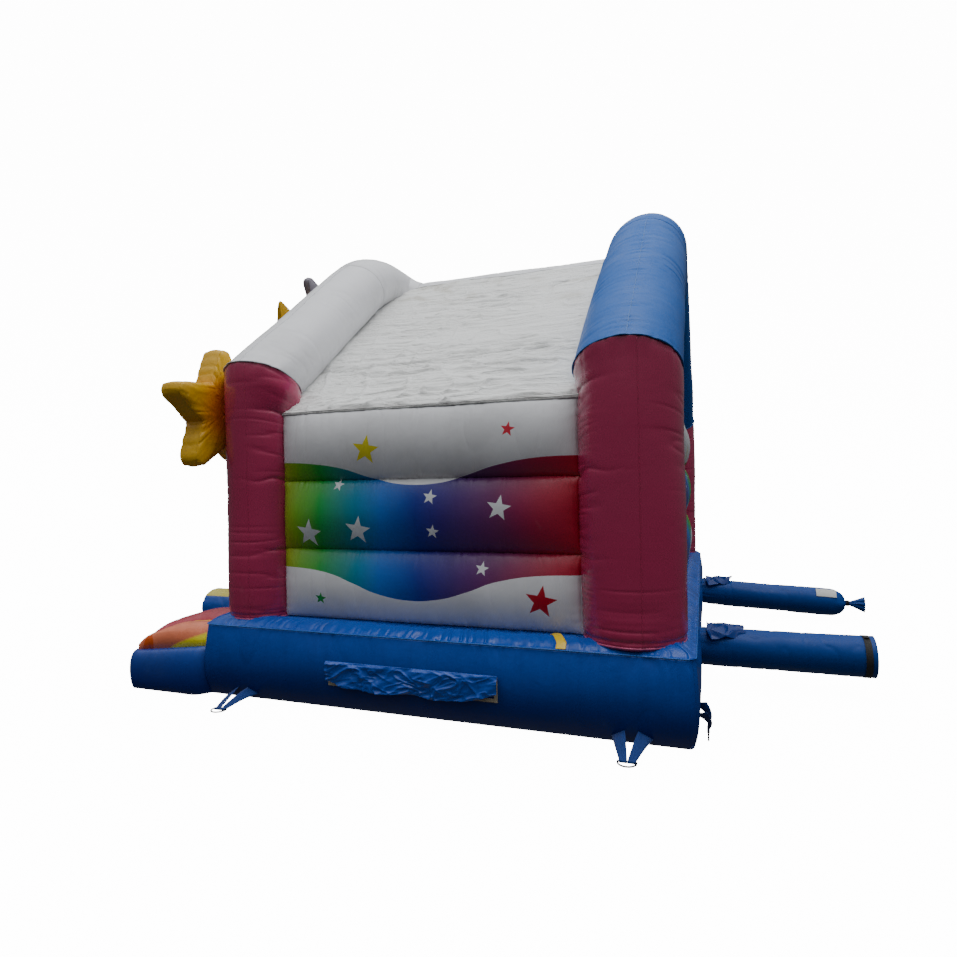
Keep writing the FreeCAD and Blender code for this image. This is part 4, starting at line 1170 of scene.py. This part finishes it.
def ramp_paint():
    """Printed vinyl: a colour for each rib, gold seams and almond patches on the ribs."""
    paint = Paint("printed_ramp_vinyl", 0.36, 0.25)
    outer = paint.size_of(paint.x)
    swing = paint.times(paint.minus(FLARE_START, paint.y),
                       FLARE / FLARE_RUN)
    swing = paint.math("MINIMUM", paint.math("MAXIMUM", swing, 0.0), FLARE)
    inward = paint.times(paint.minus(outer, 1.5), 2.0, clamp=True)
    size = paint.minus(outer, paint.times(swing, inward))
    share = paint.math("DIVIDE", size, BED_X)
    salmon = linear(0.92, 0.50, 0.36)
    bands = [(0.0, linear(0.16, 0.50, 0.78)), (0.38, linear(0.20, 0.64, 0.40)),
             (0.76, linear(0.90, 0.76, 0.16)), (1.14, linear(0.88, 0.46, 0.20)),
             (1.525, salmon), (1.83, linear(0.70, 0.20, 0.26)), (2.2, salmon)]
    colour = paint.ramp(share, [(start / BED_X, band) for start, band in bands])
    colour.node.color_ramp.interpolation = "CONSTANT"
    front = paint.ease(paint.y, -2.12, -2.34)
    inner = paint.math("LESS_THAN", size, 2.2)
    colour = paint.mix(paint.times(paint.times(front, inner), 0.6), colour,
                       linear(0.66, 0.14, 0.25))
    patches = ((2.44, -2.235, 0.035, 0.075), (2.34, -2.16, 0.032, 0.085),
               (2.02, -2.22, 0.05, 0.11), (2.0, -1.92, 0.05, 0.12))
    for middle, y, wide, long in patches:
        dx = paint.math("DIVIDE", paint.minus(outer, middle), wide)
        dy = paint.math("DIVIDE", paint.minus(paint.y, y), long)
        squared = paint.plus(paint.size_of(dx), paint.times(dy, dy))
        ink = linear(0.88, 0.36, 0.12) if middle > 2.2 else linear(0.66, 0.14, 0.24)
        colour = paint.mix(paint.ease(squared, 1.0, 0.93), colour, ink)
    gold = linear(1.0, 0.76, 0.30)
    for seam in RIB_EDGES[1:-1]:
        line = paint.size_of(paint.minus(size, seam))
        colour = paint.mix(paint.ease(line, 0.014, 0.009), colour, gold)
    run = paint.math("MAXIMUM", paint.times(paint.plus(paint.y, 2.03), 2.94), 0)
    border = paint.plus(paint.times(paint.math("POWER", run, 0.75), 0.137), 0.285)
    under = paint.minus(border, paint.z)
    flank = paint.times(paint.math("GREATER_THAN", outer, 2.28),
                       paint.math("GREATER_THAN", paint.y, -2.03))
    colour = paint.mix(paint.times(paint.ease(under, -0.013, -0.009), flank), colour,
                       gold)
    colour = paint.mix(paint.times(paint.ease(under, -0.001, 0.001), flank), colour,
                       linear(1.0, 0.93, 0.22))
    return paint.finish(worn(paint, colour, 0.10), fabric_bump(paint, 0.004),
                        uneven(paint, 0.36))


def ramp():
    start = RAMP_FRONT + 1.0 + BED_Y - 0.06
    sides = 2 * (1.0 - RAMP_CORNER) + RAMP_CORNER * math.pi + 2 * (RAMP_X - RAMP_CORNER)
    rise, distance = crossed(np.concatenate([np.linspace(0, 1, 34), [1.015, 1.03, 1.05]]),
                             np.linspace(-start, start - sides, 1100))
    grid = ramp_rim_point(distance, rise)
    piece = closed_sheet("ramp_side_band", grid, VINYL, BED_PAINT, replaced=["ramp_skin"],
                         slot="blue_vinyl")
    y, x = crossed(np.linspace(RAMP_FRONT + 0.014, -BED_Y + 0.06, 120),
                   np.linspace(-BED_X + 0.020, BED_X - 0.020, 620))
    inset = np.clip(np.abs(x) - (BED_X - RAMP_CORNER), 0, None)
    round_off = RAMP_CORNER - 0.012
    cut = round_off - np.sqrt(np.clip(round_off ** 2 - inset ** 2, 0, None))
    fade = unit((-BED_Y - y) / 0.7)
    y = y + cut * fade
    z = ramp_top_point(x, y)
    for border in ((0, slice(None)), (slice(None), 0), (slice(None), -1)):
        z[border] = rim_height(y[border]) - 0.010
    piece = closed_sheet("ramp_ribs", np.stack([x, y, z], axis=-1), VINYL, ramp_paint(),
                         replaced=["ramp_top_sheet"], slot="printed_ramp_vinyl")


def bolster_paint():
    paint = Paint("bolster_vinyl", 0.36, 0.3)
    top = paint.ease(paint.z, 0.555, 0.562)
    colour = paint.mix(top, BLUE, linear(0.86, 0.80, 0.32))
    return paint.finish(worn(paint, colour, 0.10), fabric_bump(paint), uneven(paint, 0.36))


def bolsters():
    paint = bolster_paint()
    front, back = low("ramp_bolster_right")[1], high("ramp_bolster_right")[1]
    middle_x, _, middle_z = centre_of("ramp_bolster_right")
    radius = half_size("ramp_bolster_right")[0]
    part, angle = crossed(np.linspace(0, 1, 90), turns(80))
    from_front = part * (back - front)
    for name, side, seed in (("right", 1, 190), ("left", -1, 195)):
        folds = ridges(angle / TAU * 18, from_front / 0.25, seed, 18, 2)
        pull = 0.014 * folds * np.exp(-from_front / 0.07)
        pull = pull + 0.004 * ridges(angle / TAU * 6, from_front / 0.05, seed + 1, 6, 5)
        reach = (radius - pull) * (0.02 + 0.98 * rounded(from_front / 0.075))
        grid = np.stack([middle_x + reach * np.cos(angle), front + from_front,
                         middle_z + reach * np.sin(angle)], axis=-1)
        piece = closed_tube(f"bolster_{name}", mirrored(grid, side), paint,
                            replaced=[f"ramp_bolster_{name}"], slot="blue_vinyl")


# ------------------------------------------------------------------ stars

def star_outline(angle, radius, lean, blunt, valley=0.52):
    """Distance from the middle to a blunt star's edge, at each angle from straight up."""
    fold = np.abs(np.mod(angle - lean + math.pi / 5, TAU / 5) - math.pi / 5)
    inner = valley * radius
    first = np.array([radius * math.cos(blunt), radius * math.sin(blunt)])
    second = np.array([inner * math.cos(math.pi / 5), inner * math.sin(math.pi / 5)])
    along = second - first
    normal = np.array([along[1], -along[0]]) / np.linalg.norm(along)
    reach = float(normal @ first) / (normal[0] * np.cos(fold) + normal[1] * np.sin(fold))
    cap = radius * math.cos(blunt) / np.cos(fold)
    soft = 24.0
    return (np.maximum(reach, 1e-6) ** -soft + cap ** -soft) ** (-1 / soft)


def star_piece(name, node, material, slot, radius, lean, seed, blunt=5, taper=0.0, wrap=0.0):
    """An inflated star: two puffed faces with a band between them; wrap bends its tips back."""
    lowest, highest = low(node), high(node)
    rear, front = highest[1], lowest[1]
    thick = rear - front
    angle = turns(360)[None, :]
    edge = star_outline(angle, radius, lean, math.radians(blunt))
    points = np.array([[math.sin(lean + i * TAU / 5) * radius,
                        math.cos(lean + i * TAU / 5) * radius] for i in range(5)])
    share = np.sin(np.linspace(0.02, 1, 46) * math.pi / 2)[:, None]
    x, z = share * edge * np.sin(angle), share * edge * np.cos(angle)
    inward = (1 - share) * edge
    rim_slope = np.gradient(edge, axis=1) / (TAU / 360)
    inward = inward * edge / np.hypot(edge, rim_slope)
    arm = np.min(np.hypot(x[..., None] - points[:, 0], z[..., None] - points[:, 1]), axis=-1)
    depth = 0.26 * radius * (0.45 + 0.55 * unit(arm / (0.6 * radius)))
    swell = rounded(inward / depth)
    half = thick / 2 * (0.78 + 0.22 * swell)
    cells = int(TAU * radius / 0.05)
    turn = angle / TAU * cells
    folds = ridges(turn, inward / 0.25, seed, cells, 2) * np.exp(-inward / 0.055)
    cross = ridges(turn / 3, inward / 0.030, seed + 2, cells // 3, 4)
    notch = np.exp(-(edge - 0.52 * radius) / (0.25 * radius))
    half = half - 0.010 * folds - 0.005 * cross * notch
    half = half + 0.004 * noise(x / 0.10, z / 0.10, seed + 1)
    far = np.hypot(x, z) / radius
    half = half * (1 - taper * far ** 2)
    band = np.linspace(-1, 1, 12)[1:-1, None]
    band_out = edge * (1 + 0.035 * (1 - band ** 2))
    band_folds = ridges(turn, band / 2, seed, cells, 2) * 0.007
    band_x = (band_out - band_folds) * np.sin(angle)
    band_z = (band_out - band_folds) * np.cos(angle)
    middle = (rear + front) / 2
    rim_half = half[-1:]
    face_front = np.stack([x, middle - half, z], axis=-1)
    side = np.stack([band_x, middle + band * rim_half, band_z], axis=-1)
    face_rear = np.stack([x, middle + half, z], axis=-1)[::-1]
    grid = np.concatenate([face_front, side, face_rear])
    grid[..., 1] += wrap * (np.hypot(grid[..., 0], grid[..., 2]) / radius) ** 2
    centre_x, centre_z = STAR_PLACES[node]
    grid = grid + np.array([centre_x, 0, centre_z])
    piece = closed_tube(name, grid, material, replaced=[node], slot=slot)
    for label, face in (("front", face_front[-1]), ("rear", face_rear[0])):
        path = face + np.array([centre_x, 0, centre_z])
        path[:, 1] += wrap * (np.hypot(face[:, 0], face[:, 2]) / radius) ** 2
        welt(f"{name}_seam_{label}", path, 0.003, material, closed=True, slot=slot)


COLUMN_STAR_R = 0.474
COLUMN_STAR_X = 2.19
COLUMN_STAR_Z = 2.044
GABLE_LEAN = math.radians(49)
STAR_PLACES = {
    "column_star_right": (COLUMN_STAR_X, COLUMN_STAR_Z),
    "column_star_left": (-COLUMN_STAR_X, COLUMN_STAR_Z),
    "gable_star_silver": (0.780, 3.100),
    "gable_star_gold": (1.100, 2.780),
}


def star_paint(name, centre, inner, outer, radius):
    """A puffed star's vinyl: one colour at the tips, glowing to another in the middle."""
    paint = Paint(name, 0.40, 0.15)
    dx = paint.minus(paint.size_of(paint.x), centre[0])
    dz = paint.minus(paint.z, centre[1])
    reach = paint.length(dx, dz)
    colour = paint.mix(paint.ease(reach, 0.15 * radius, 0.72 * radius), inner, outer)
    return paint.finish(worn(paint, colour, 0.14), fabric_bump(paint, 0.005),
                        uneven(paint, 0.40))


def stars():
    column = star_paint("gold_vinyl", (COLUMN_STAR_X, COLUMN_STAR_Z), ORANGE, YELLOW,
                        COLUMN_STAR_R)
    for name in ("right", "left"):
        star_piece(f"puffed_star_{name}", f"column_star_{name}", column, "gold_vinyl",
                   COLUMN_STAR_R, 0.0, 200)
    gold = star_paint("gable_gold_vinyl", STAR_PLACES["gable_star_gold"], ORANGE, YELLOW, 0.46)
    silver = star_paint("silver_vinyl", STAR_PLACES["gable_star_silver"],
                        linear(0.80, 0.80, 0.83), linear(0.52, 0.50, 0.54), 0.42)
    star_piece("puffed_star_silver", "gable_star_silver", silver, "silver_vinyl", 0.42,
               GABLE_LEAN, 210, 4, 0.3, 0.02)
    star_piece("puffed_star_gold", "gable_star_gold", gold, "gold_vinyl", 0.46,
               GABLE_LEAN, 220, 2, 0.75, 0.09)


# ------------------------------------------------------------------ sleeves at the back

SLEEVE_R = half_size("blower_sleeve")[0]
SLEEVE_X, _, SLEEVE_Z = centre_of("blower_sleeve")


SLEEVE_ROOT = 0.07


def sleeve_relief(angle, from_root, seed):
    """Inward folds of a sleeve: gathers at its root, soft rings further out."""
    gathers = ridges(angle / TAU * 26, from_root / 0.4, seed, 26, 2)
    rings = ridges(angle / TAU * 4, from_root / 0.09, seed + 1, 4, 6)
    slow = noise(angle / TAU * 4, from_root / 0.35, seed + 2, 4)
    return 0.016 * gathers * np.exp(-from_root / 0.10) + 0.004 * rings + 0.004 * slow


def sleeves():
    paint = vinyl("sleeve_nylon", linear(0.0, 0.25, 0.54), 0.42, 0.05, 0.06, 0.002, 0.16)
    start, stop = low("blower_sleeve")[1] - SLEEVE_ROOT, high("blower_sleeve")[1]
    along, around = crossed(np.linspace(start, stop, 110), turns(96))
    strap_y = centre_of("blower_sleeve_strap")[1]
    cinch = 0.004 * np.exp(-((along - strap_y) / 0.03) ** 2)
    reach = SLEEVE_R - 0.001 - sleeve_relief(around, along - start, 230) - cinch
    hem = 0.002 * (along > stop - 0.03)
    outer = reach + hem
    inner = reach - 0.004
    rings = []
    for size, order in ((outer, 1), (inner, -1)):
        ring = np.stack([SLEEVE_X + size * np.cos(around), along,
                         SLEEVE_Z + size * np.sin(around)], axis=-1)
        rings.append(ring[::order])
    ring_piece("open_sleeve", np.concatenate(rings), paint, replaced=["blower_sleeve"],
               slot="sleeve_nylon")
    tied_sleeve(paint)


def tied_sleeve(paint):
    """The spare sleeve hangs a little, closes to a gathered neck and flares past its tie."""
    start, stop = low("spare_sleeve")[1] - SLEEVE_ROOT, high("spare_sleeve")[1]
    part, around = crossed(np.linspace(0, 1, 170), turns(96))
    from_root = part * (stop - start)
    to_end = (stop - start) - from_root
    neck = 0.024
    close = unit(1 - to_end / 0.13)
    shoulder = np.sqrt(unit(1 - close ** 2.2))
    reach = neck + (SLEEVE_R - 0.001 - neck) * shoulder
    gather = ridges(around / TAU * 16, to_end / 0.5, 242, 16, 2)
    reach = reach - sleeve_relief(around, from_root, 240) * unit(shoulder * 2)
    reach = reach * (1 - 0.22 * gather * close)
    drop = math.tan(math.radians(3))
    base_z = centre_of("sleeve_hood_left")[2] - 0.0075 - SLEEVE_R
    centre_z = base_z - drop * from_root
    grid = np.stack([-SLEEVE_X + reach * np.cos(around), start + from_root,
                     centre_z + reach * np.sin(around)], axis=-1)
    piece = closed_tube("closed_sleeve", grid, paint, replaced=["spare_sleeve"],
                        slot="sleeve_nylon")
    start, stop = low("spare_sleeve_tail")[1], high("spare_sleeve_tail")[1]
    part, around = crossed(np.linspace(0, 1, 60), turns(96))
    from_neck = part * (stop - start)
    middle_z = base_z - drop * (from_neck + start - low("spare_sleeve")[1])
    spread = 0.022 + 0.055 * unit((from_neck - 0.04) / 0.13) ** 1.1
    flat = 1 - 0.45 * unit((from_neck - 0.05) / 0.12)
    wave = 1 + 0.30 * np.cos(around * 9 + 2.5 * noise(around / TAU * 5, part, 250, 5))
    reach = spread * (1 - 0.30 + 0.30 * wave)
    grid = np.stack([-SLEEVE_X + reach * flat * np.cos(around), start + from_neck,
                     middle_z + 0.95 * reach * np.sin(around)], axis=-1)
    closed_tube("sleeve_end_tuft", grid, paint, replaced=["spare_sleeve_tail"],
                slot="sleeve_nylon")


def hoods():
    """Crumpled flaps that lie over the sleeves' roots."""
    paint = vinyl("hood_vinyl", linear(0.0, 0.20, 0.48), 0.26, 0.10, gloss=0.16)
    out, across = crossed(np.linspace(0, 1, 84), np.linspace(-1, 1, 90))
    for name, side, seed in (("right", 1, 260), ("left", -1, 270)):
        lowest, highest = low(f"sleeve_hood_{name}"), high(f"sleeve_hood_{name}")
        wide = (highest[0] - lowest[0]) / 2
        long = highest[1] - lowest[1]
        ragged = 0.025 * noise(across * 2.5, 0, seed)
        x = (lowest[0] + highest[0]) / 2 + wide * across * (1 - 0.55 * out ** 1.5)
        y = lowest[1] + (long - 0.02 + ragged) * out
        droop = 0.060 * across ** 2
        warp = 0.6 * noise(x / 0.12, y / 0.12, seed + 3)
        crumple = 0.022 * ridges(x / 0.07 + warp, y / 0.17 - x / 0.3, seed + 1, sharp=3)
        crumple = crumple + 0.007 * ridges(x / 0.035 + warp, y / 0.06, seed + 2, sharp=3)
        hold = unit(out / 0.12)
        z = highest[2] + 0.004 - droop * hold + (crumple - 0.004) * hold
        grid = np.stack([x, y, z], axis=-1)
        piece = closed_sheet(f"hood_{name}", grid, CLOTH, paint,
                             body=f"sleeve_hood_{name}", replaced=[f"sleeve_hood_{name}"],
                             slot="blue_vinyl")


# ------------------------------------------------------------------ zip cover and trims

def zip_cover():
    """The flap over the zip, crumpled and curling at its rear end."""
    lowest, highest = low("zip_cover_flap"), high("zip_cover_flap")
    down, along = crossed(np.linspace(0, 1, 60), np.linspace(0, 1, 300))
    wide = highest[1] - lowest[1]
    tall = highest[2] - lowest[2]
    y = lowest[1] + wide * along
    curl = unit((along - 0.80) / 0.20)
    hang = 1 - 0.10 * noise(along * 6, 0, 280) - 0.42 * curl ** 1.4 * down
    hang = hang - 0.18 * unit(1 - along / 0.12) * down
    z = highest[2] - tall * down * hang
    warp = 0.8 * noise(y / 0.22, z / 0.10, 284)
    long_folds = ridges(y / 0.30 + warp, (z - 0.30 * y) / 0.055 + warp, 281, sharp=3)
    short_folds = ridges(y / 0.09 + warp, (z + 0.5 * y) / 0.05 + warp, 282, sharp=4)
    fine_folds = ridges(y / 0.06 + 1.4 * warp, (z - 0.25 * y) / 0.024 + warp, 285, sharp=3)
    crumple = 0.014 * long_folds + 0.009 * short_folds + 0.006 * fine_folds
    crumple = crumple + 0.010 * noise(y / 0.2, z / 0.12, 283)
    hold = unit(down / 0.10)
    x = highest[0] - 0.002 + crumple * hold
    grid = np.stack([x, y, z], axis=-1)
    paint = vinyl("cover_vinyl", linear(0.0, 0.30, 0.68), 0.22, 0.6, 0.08, 0.008)
    piece = closed_sheet("zip_cover_cloth", grid, CLOTH, paint, body="zip_cover",
                         replaced=["zip_cover_flap"], slot="blue_vinyl")


def ribbon(name, path, across, wide, thick, material, **words):
    """A flat strap along a path; across is its width direction at each point."""
    path = np.asarray(path, float)
    across = np.asarray(across, float)
    across = across / np.linalg.norm(across, axis=1, keepdims=True)
    ahead = np.gradient(path, axis=0)
    ahead = ahead / np.linalg.norm(ahead, axis=1, keepdims=True)
    face = np.cross(ahead, across)
    spots = [(u, v) for v in (-0.5, 0.5) for u in np.linspace(-0.5, 0.5, 5)[::int(2 * v) or 1]]
    wide = np.broadcast_to(wide, len(path))[:, None]
    grid = np.stack([path + wide * u * across + thick * v * face for u, v in spots], axis=1)
    return closed_tube(name, grid, material, **words)


def anchor_straps():
    """Webbing arms from under the bed's edge down to each ring, looped round its pin."""
    wide = 0.042
    paint = webbing_paint("blue_webbing", linear(0.02, 0.20, 0.46))
    for end in ("front", "rear"):
        for name, side in (("right", 1), ("left", -1)):
            ring = f"anchor_ring_{name}_{end}"
            pin = side * (low(ring)[0] if side > 0 else high(ring)[0]) + PIN_INSET
            _, middle, z = centre_of(ring)
            for arm in (-1, 1):
                turn = np.linspace(math.radians(180), math.radians(-170), LOOP_STEPS)
                run = np.linspace(0, 1, 34)
                root = np.array([BED_X - 0.06, middle + arm * 0.092, 0.070])
                spot = np.array([pin, middle + arm * LOOP_ARM, z])
                first = spot + np.array([LOOP * math.cos(turn[0]), 0, LOOP * math.sin(turn[0])])
                line = root + (first - root) * run[:, None]
                line[:, 2] += 0.010 * np.sin(run * math.pi) * (1 + 0.3 * arm)
                loop = np.stack([spot[0] + LOOP * np.cos(turn), np.full(LOOP_STEPS, spot[1]),
                                 spot[2] + LOOP * np.sin(turn)], axis=-1)
                path = np.concatenate([line[:-1], loop])
                lean = 0.75 * (1 - unit(np.linspace(0, 1.5, len(path))))
                across = np.stack([0.25 * lean, np.ones(len(path)), -arm * lean], axis=-1)
                flip = np.array([side, 1, 1])
                widths = wide + 0.060 * (1 - unit(np.linspace(0, 1.6, len(path))))
                ribbon(f"anchor_strap_{name}_{end}_{'b' if arm > 0 else 'a'}", path * flip,
                       across * flip, widths, STRAP, paint, replaced=["anchor_webs"],
                       slot="blue_webbing")
    for name, side in (("right", 1), ("left", -1)):
        ring = f"anchor_ring_{name}_back"
        middle_x, y, _ = centre_of(ring)
        pin_z = high(ring)[2] - PIN_INSET
        for arm in (-1, 1):
            turn = np.linspace(math.radians(180), math.radians(400), LOOP_STEPS)
            run = np.linspace(0, 1, 26)
            root = np.array([middle_x + arm * 0.085, BED_Y + 0.01, 0.19])
            spot = np.array([middle_x + arm * LOOP_ARM, y, pin_z])
            first = spot + np.array([0, -LOOP, 0])
            line = root + (first - root) * run[:, None]
            line[:, 1] += 0.030 * np.sin(run * math.pi)
            loop = np.stack([np.full(LOOP_STEPS, spot[0]), y + LOOP * np.cos(turn),
                             pin_z + LOOP * np.sin(turn)], axis=-1)
            path = np.concatenate([line[:-1], loop])
            twist = 1 - unit(np.linspace(0, 1.9, len(path)))
            across = np.stack([1 - 0.5 * twist, 0.9 * twist, 0.3 * twist], axis=-1)
            ribbon(f"anchor_strap_{name}_back_{'b' if arm > 0 else 'a'}", path, across,
                   wide + 0.05 * twist, STRAP, paint, replaced=["anchor_webs"],
                   slot="blue_webbing")


def webbing_paint(name, colour):
    paint = Paint(name, 0.75, 0.0, 0.15)
    return paint.finish(worn(paint, colour, 0.25), paint_ribs(paint))


def recolour():
    """Better materials for the CAD nodes that stay in view."""
    black = webbing_paint("black_webbing", BLACK)
    steel = Paint("black_steel", 0.35, 0.3)
    chips = steel.ease(steel.noise(120, 5, 0.7), 0.60, 0.66)
    steel.finish(steel.mix(chips, linear(0.07, 0.07, 0.08), linear(0.42, 0.38, 0.34)),
                 steel.bump(steel.noise(160, 4), 0.0006, 0.5), uneven(steel, 0.38, 0.12))
    bright = Paint("zip_metal", 0.28, 0.0, 0.0, 0.9)
    bright.finish(bright.mix(bright.ease(bright.noise(90, 5, 0.7), 0.45, 0.7),
                             (0.55, 0.55, 0.56), (0.32, 0.31, 0.30)),
                  bright.bump(bright.noise(200, 4), 0.0003, 0.4), uneven(bright, 0.32, 0.1))
    tape = Paint("zip_tape", 0.8, 0.0, 0.1)
    tape.finish(worn(tape, linear(0.62, 0.58, 0.50), 0.35, (0.15, 0.13, 0.10)),
                tape.bump(tape.math("MAXIMUM", tape.wave("Z", 160), tape.wave("Y", 160)),
                          0.0005, 0.6))
    coil = Paint("zip_coil", 0.45)
    coil.finish(worn(coil, BLACK, 0.2), coil.bump(coil.wave("Y", 120), 0.0015, 0.8))
    label = Paint("label_film", 0.45, 0.1)
    label.finish(worn(label, linear(0.80, 0.80, 0.78), 0.30), fabric_bump(label, 0.001))
    baffle = vinyl("baffle_cloth", linear(0.80, 0.80, 0.78), 0.7, 0.0, 0.1, 0.002)
    paints = {"blower_sleeve_strap": black, "spare_sleeve_tie": black,
              "zip_frame": tape.material,
              "zip_coils": coil.material, "zip_slider": bright.material,
              "zip_pull": bright.material, "sleeve_label": label.material,
              "bed_baffles": baffle, "eave_baffles": baffle}
    paints |= {node: steel.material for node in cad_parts
               if node.startswith("anchor_ring")}
    for node, material in paints.items():
        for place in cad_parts[node].material_slots:
            place.link = "OBJECT"
            place.material = material


def paint_ribs(paint):
    cross = paint.math("MAXIMUM", paint.wave("X", 90), paint.wave("Y", 90))
    return paint.bump(cross, 0.0008, 0.7)


# ------------------------------------------------------------------ build

bed_base()
bed_sides()
bed_margin()
bed_floor()
margin_strip()
columns()
arches()
ridge()
walls()
roof()
ramp()
bolsters()
stars()
sleeves()
hoods()
zip_cover()
anchor_straps()
recolour()


# ------------------------------------------------------------------ camera, light and floor

LENS_MM = 23.755
SENSOR_MM = 36
CAMERA_SPOT = (6.063, 1.736, 1.5235)
CAMERA_AXES = ((-0.33591, 0.94168, -0.02011), (-0.00955, 0.01794, 0.99979),
               (0.94185, 0.33603, 0.00297))


def camera():
    """The camera stands beside the right rear corner at eye height; its axes point right, up
    and back."""
    data = bpy.data.cameras.new("camera")
    data.lens = LENS_MM
    data.sensor_width = SENSOR_MM
    item = bpy.data.objects.new("camera", data)
    bpy.context.collection.objects.link(item)
    turn = Matrix(CAMERA_AXES).transposed().to_4x4()
    item.matrix_world = Matrix.Translation(CAMERA_SPOT) @ turn
    bpy.context.scene.camera = item


def area_light(name, place, target, size, power):
    data = bpy.data.lights.new(name, "AREA")
    data.shape = "DISK"
    data.size = size
    data.energy = power
    item = bpy.data.objects.new(name, data)
    bpy.context.collection.objects.link(item)
    item.location = place
    item.rotation_euler = (Vector(target) - Vector(place)).to_track_quat("-Z", "Y").to_euler()


def sky():
    """Soft light from overhead that fades to the sides, with little from below."""
    world = bpy.data.worlds.new("studio")
    bpy.context.scene.world = world
    world.use_nodes = True
    nodes, links = world.node_tree.nodes, world.node_tree.links
    background = nodes["Background"]
    background.inputs["Color"].default_value = (0.95, 0.975, 1.0, 1)
    towards = nodes.new("ShaderNodeSeparateXYZ")
    links.new(nodes.new("ShaderNodeTexCoord").outputs["Generated"], towards.inputs[0])
    strength = nodes.new("ShaderNodeFloatCurve")
    line = strength.mapping.curves[0]
    for place in (0.22, 0.5, 0.8):
        line.points.new(place, 0.5)
    for point, level in zip(line.points, (0.03, 0.065, 0.17, 0.52, 1.0)):
        point.location = (point.location[0], level)
    strength.mapping.update()
    links.new(towards.outputs[2], strength.inputs["Value"])
    power = nodes.new("ShaderNodeMath")
    power.operation = "MULTIPLY"
    power.inputs[1].default_value = SKY_POWER
    below = nodes.new("ShaderNodeMath")
    below.operation = "MINIMUM"
    below.inputs[1].default_value = 0.0
    links.new(towards.outputs[2], below.inputs[0])
    ground = nodes.new("ShaderNodeMath")
    ground.operation = "MULTIPLY"
    links.new(below.outputs[0], ground.inputs[0])
    links.new(below.outputs[0], ground.inputs[1])
    both = nodes.new("ShaderNodeMath")
    both.operation = "MULTIPLY_ADD"
    both.inputs[1].default_value = GROUND_SHARE
    links.new(ground.outputs[0], both.inputs[0])
    links.new(strength.outputs[0], both.inputs[2])
    links.new(both.outputs[0], power.inputs[0])
    links.new(power.outputs[0], background.inputs["Strength"])


def backdrop():
    """A white floor that curves up into a white surround; it is seen but gives no light."""
    around = turns(64)
    profile = [(0.0, 0.0), (20.0, 0.0), (40.0, 0.0), (50.0, 2.0), (57.0, 8.0), (60.0, 18.0),
               (58.0, 34.0), (48.0, 50.0), (30.0, 60.0), (0.01, 64.0)]
    points = [(size * math.cos(turn), size * math.sin(turn), height - 0.001)
              for size, height in profile for turn in around]
    faces = weave_quads(len(profile), 64, True)
    mesh = bpy.data.meshes.new("backdrop")
    mesh.from_pydata(points, [], [tuple(int(corner) for corner in face) for face in faces])
    mesh.shade_smooth()
    item = bpy.data.objects.new("backdrop", mesh)
    bpy.context.collection.objects.link(item)
    paint = Paint("backdrop", 1.0)
    paint.shader.inputs["Emission Color"].default_value = (1, 1, 1, 1)
    paint.shader.inputs["Emission Strength"].default_value = 14.0
    mesh.materials.append(paint.finish((0.8, 0.8, 0.8)))
    item.visible_diffuse = False
    item.visible_glossy = False
    item.visible_transmission = False
    item.visible_shadow = False


SKY_POWER = 2.8
GROUND_SHARE = 0.13


def studio():
    sky()
    area_light("overhead", (2.0, 1.5, 7.5), (0, 0, 1.5), 4, 120)
    backdrop()


camera()
studio()
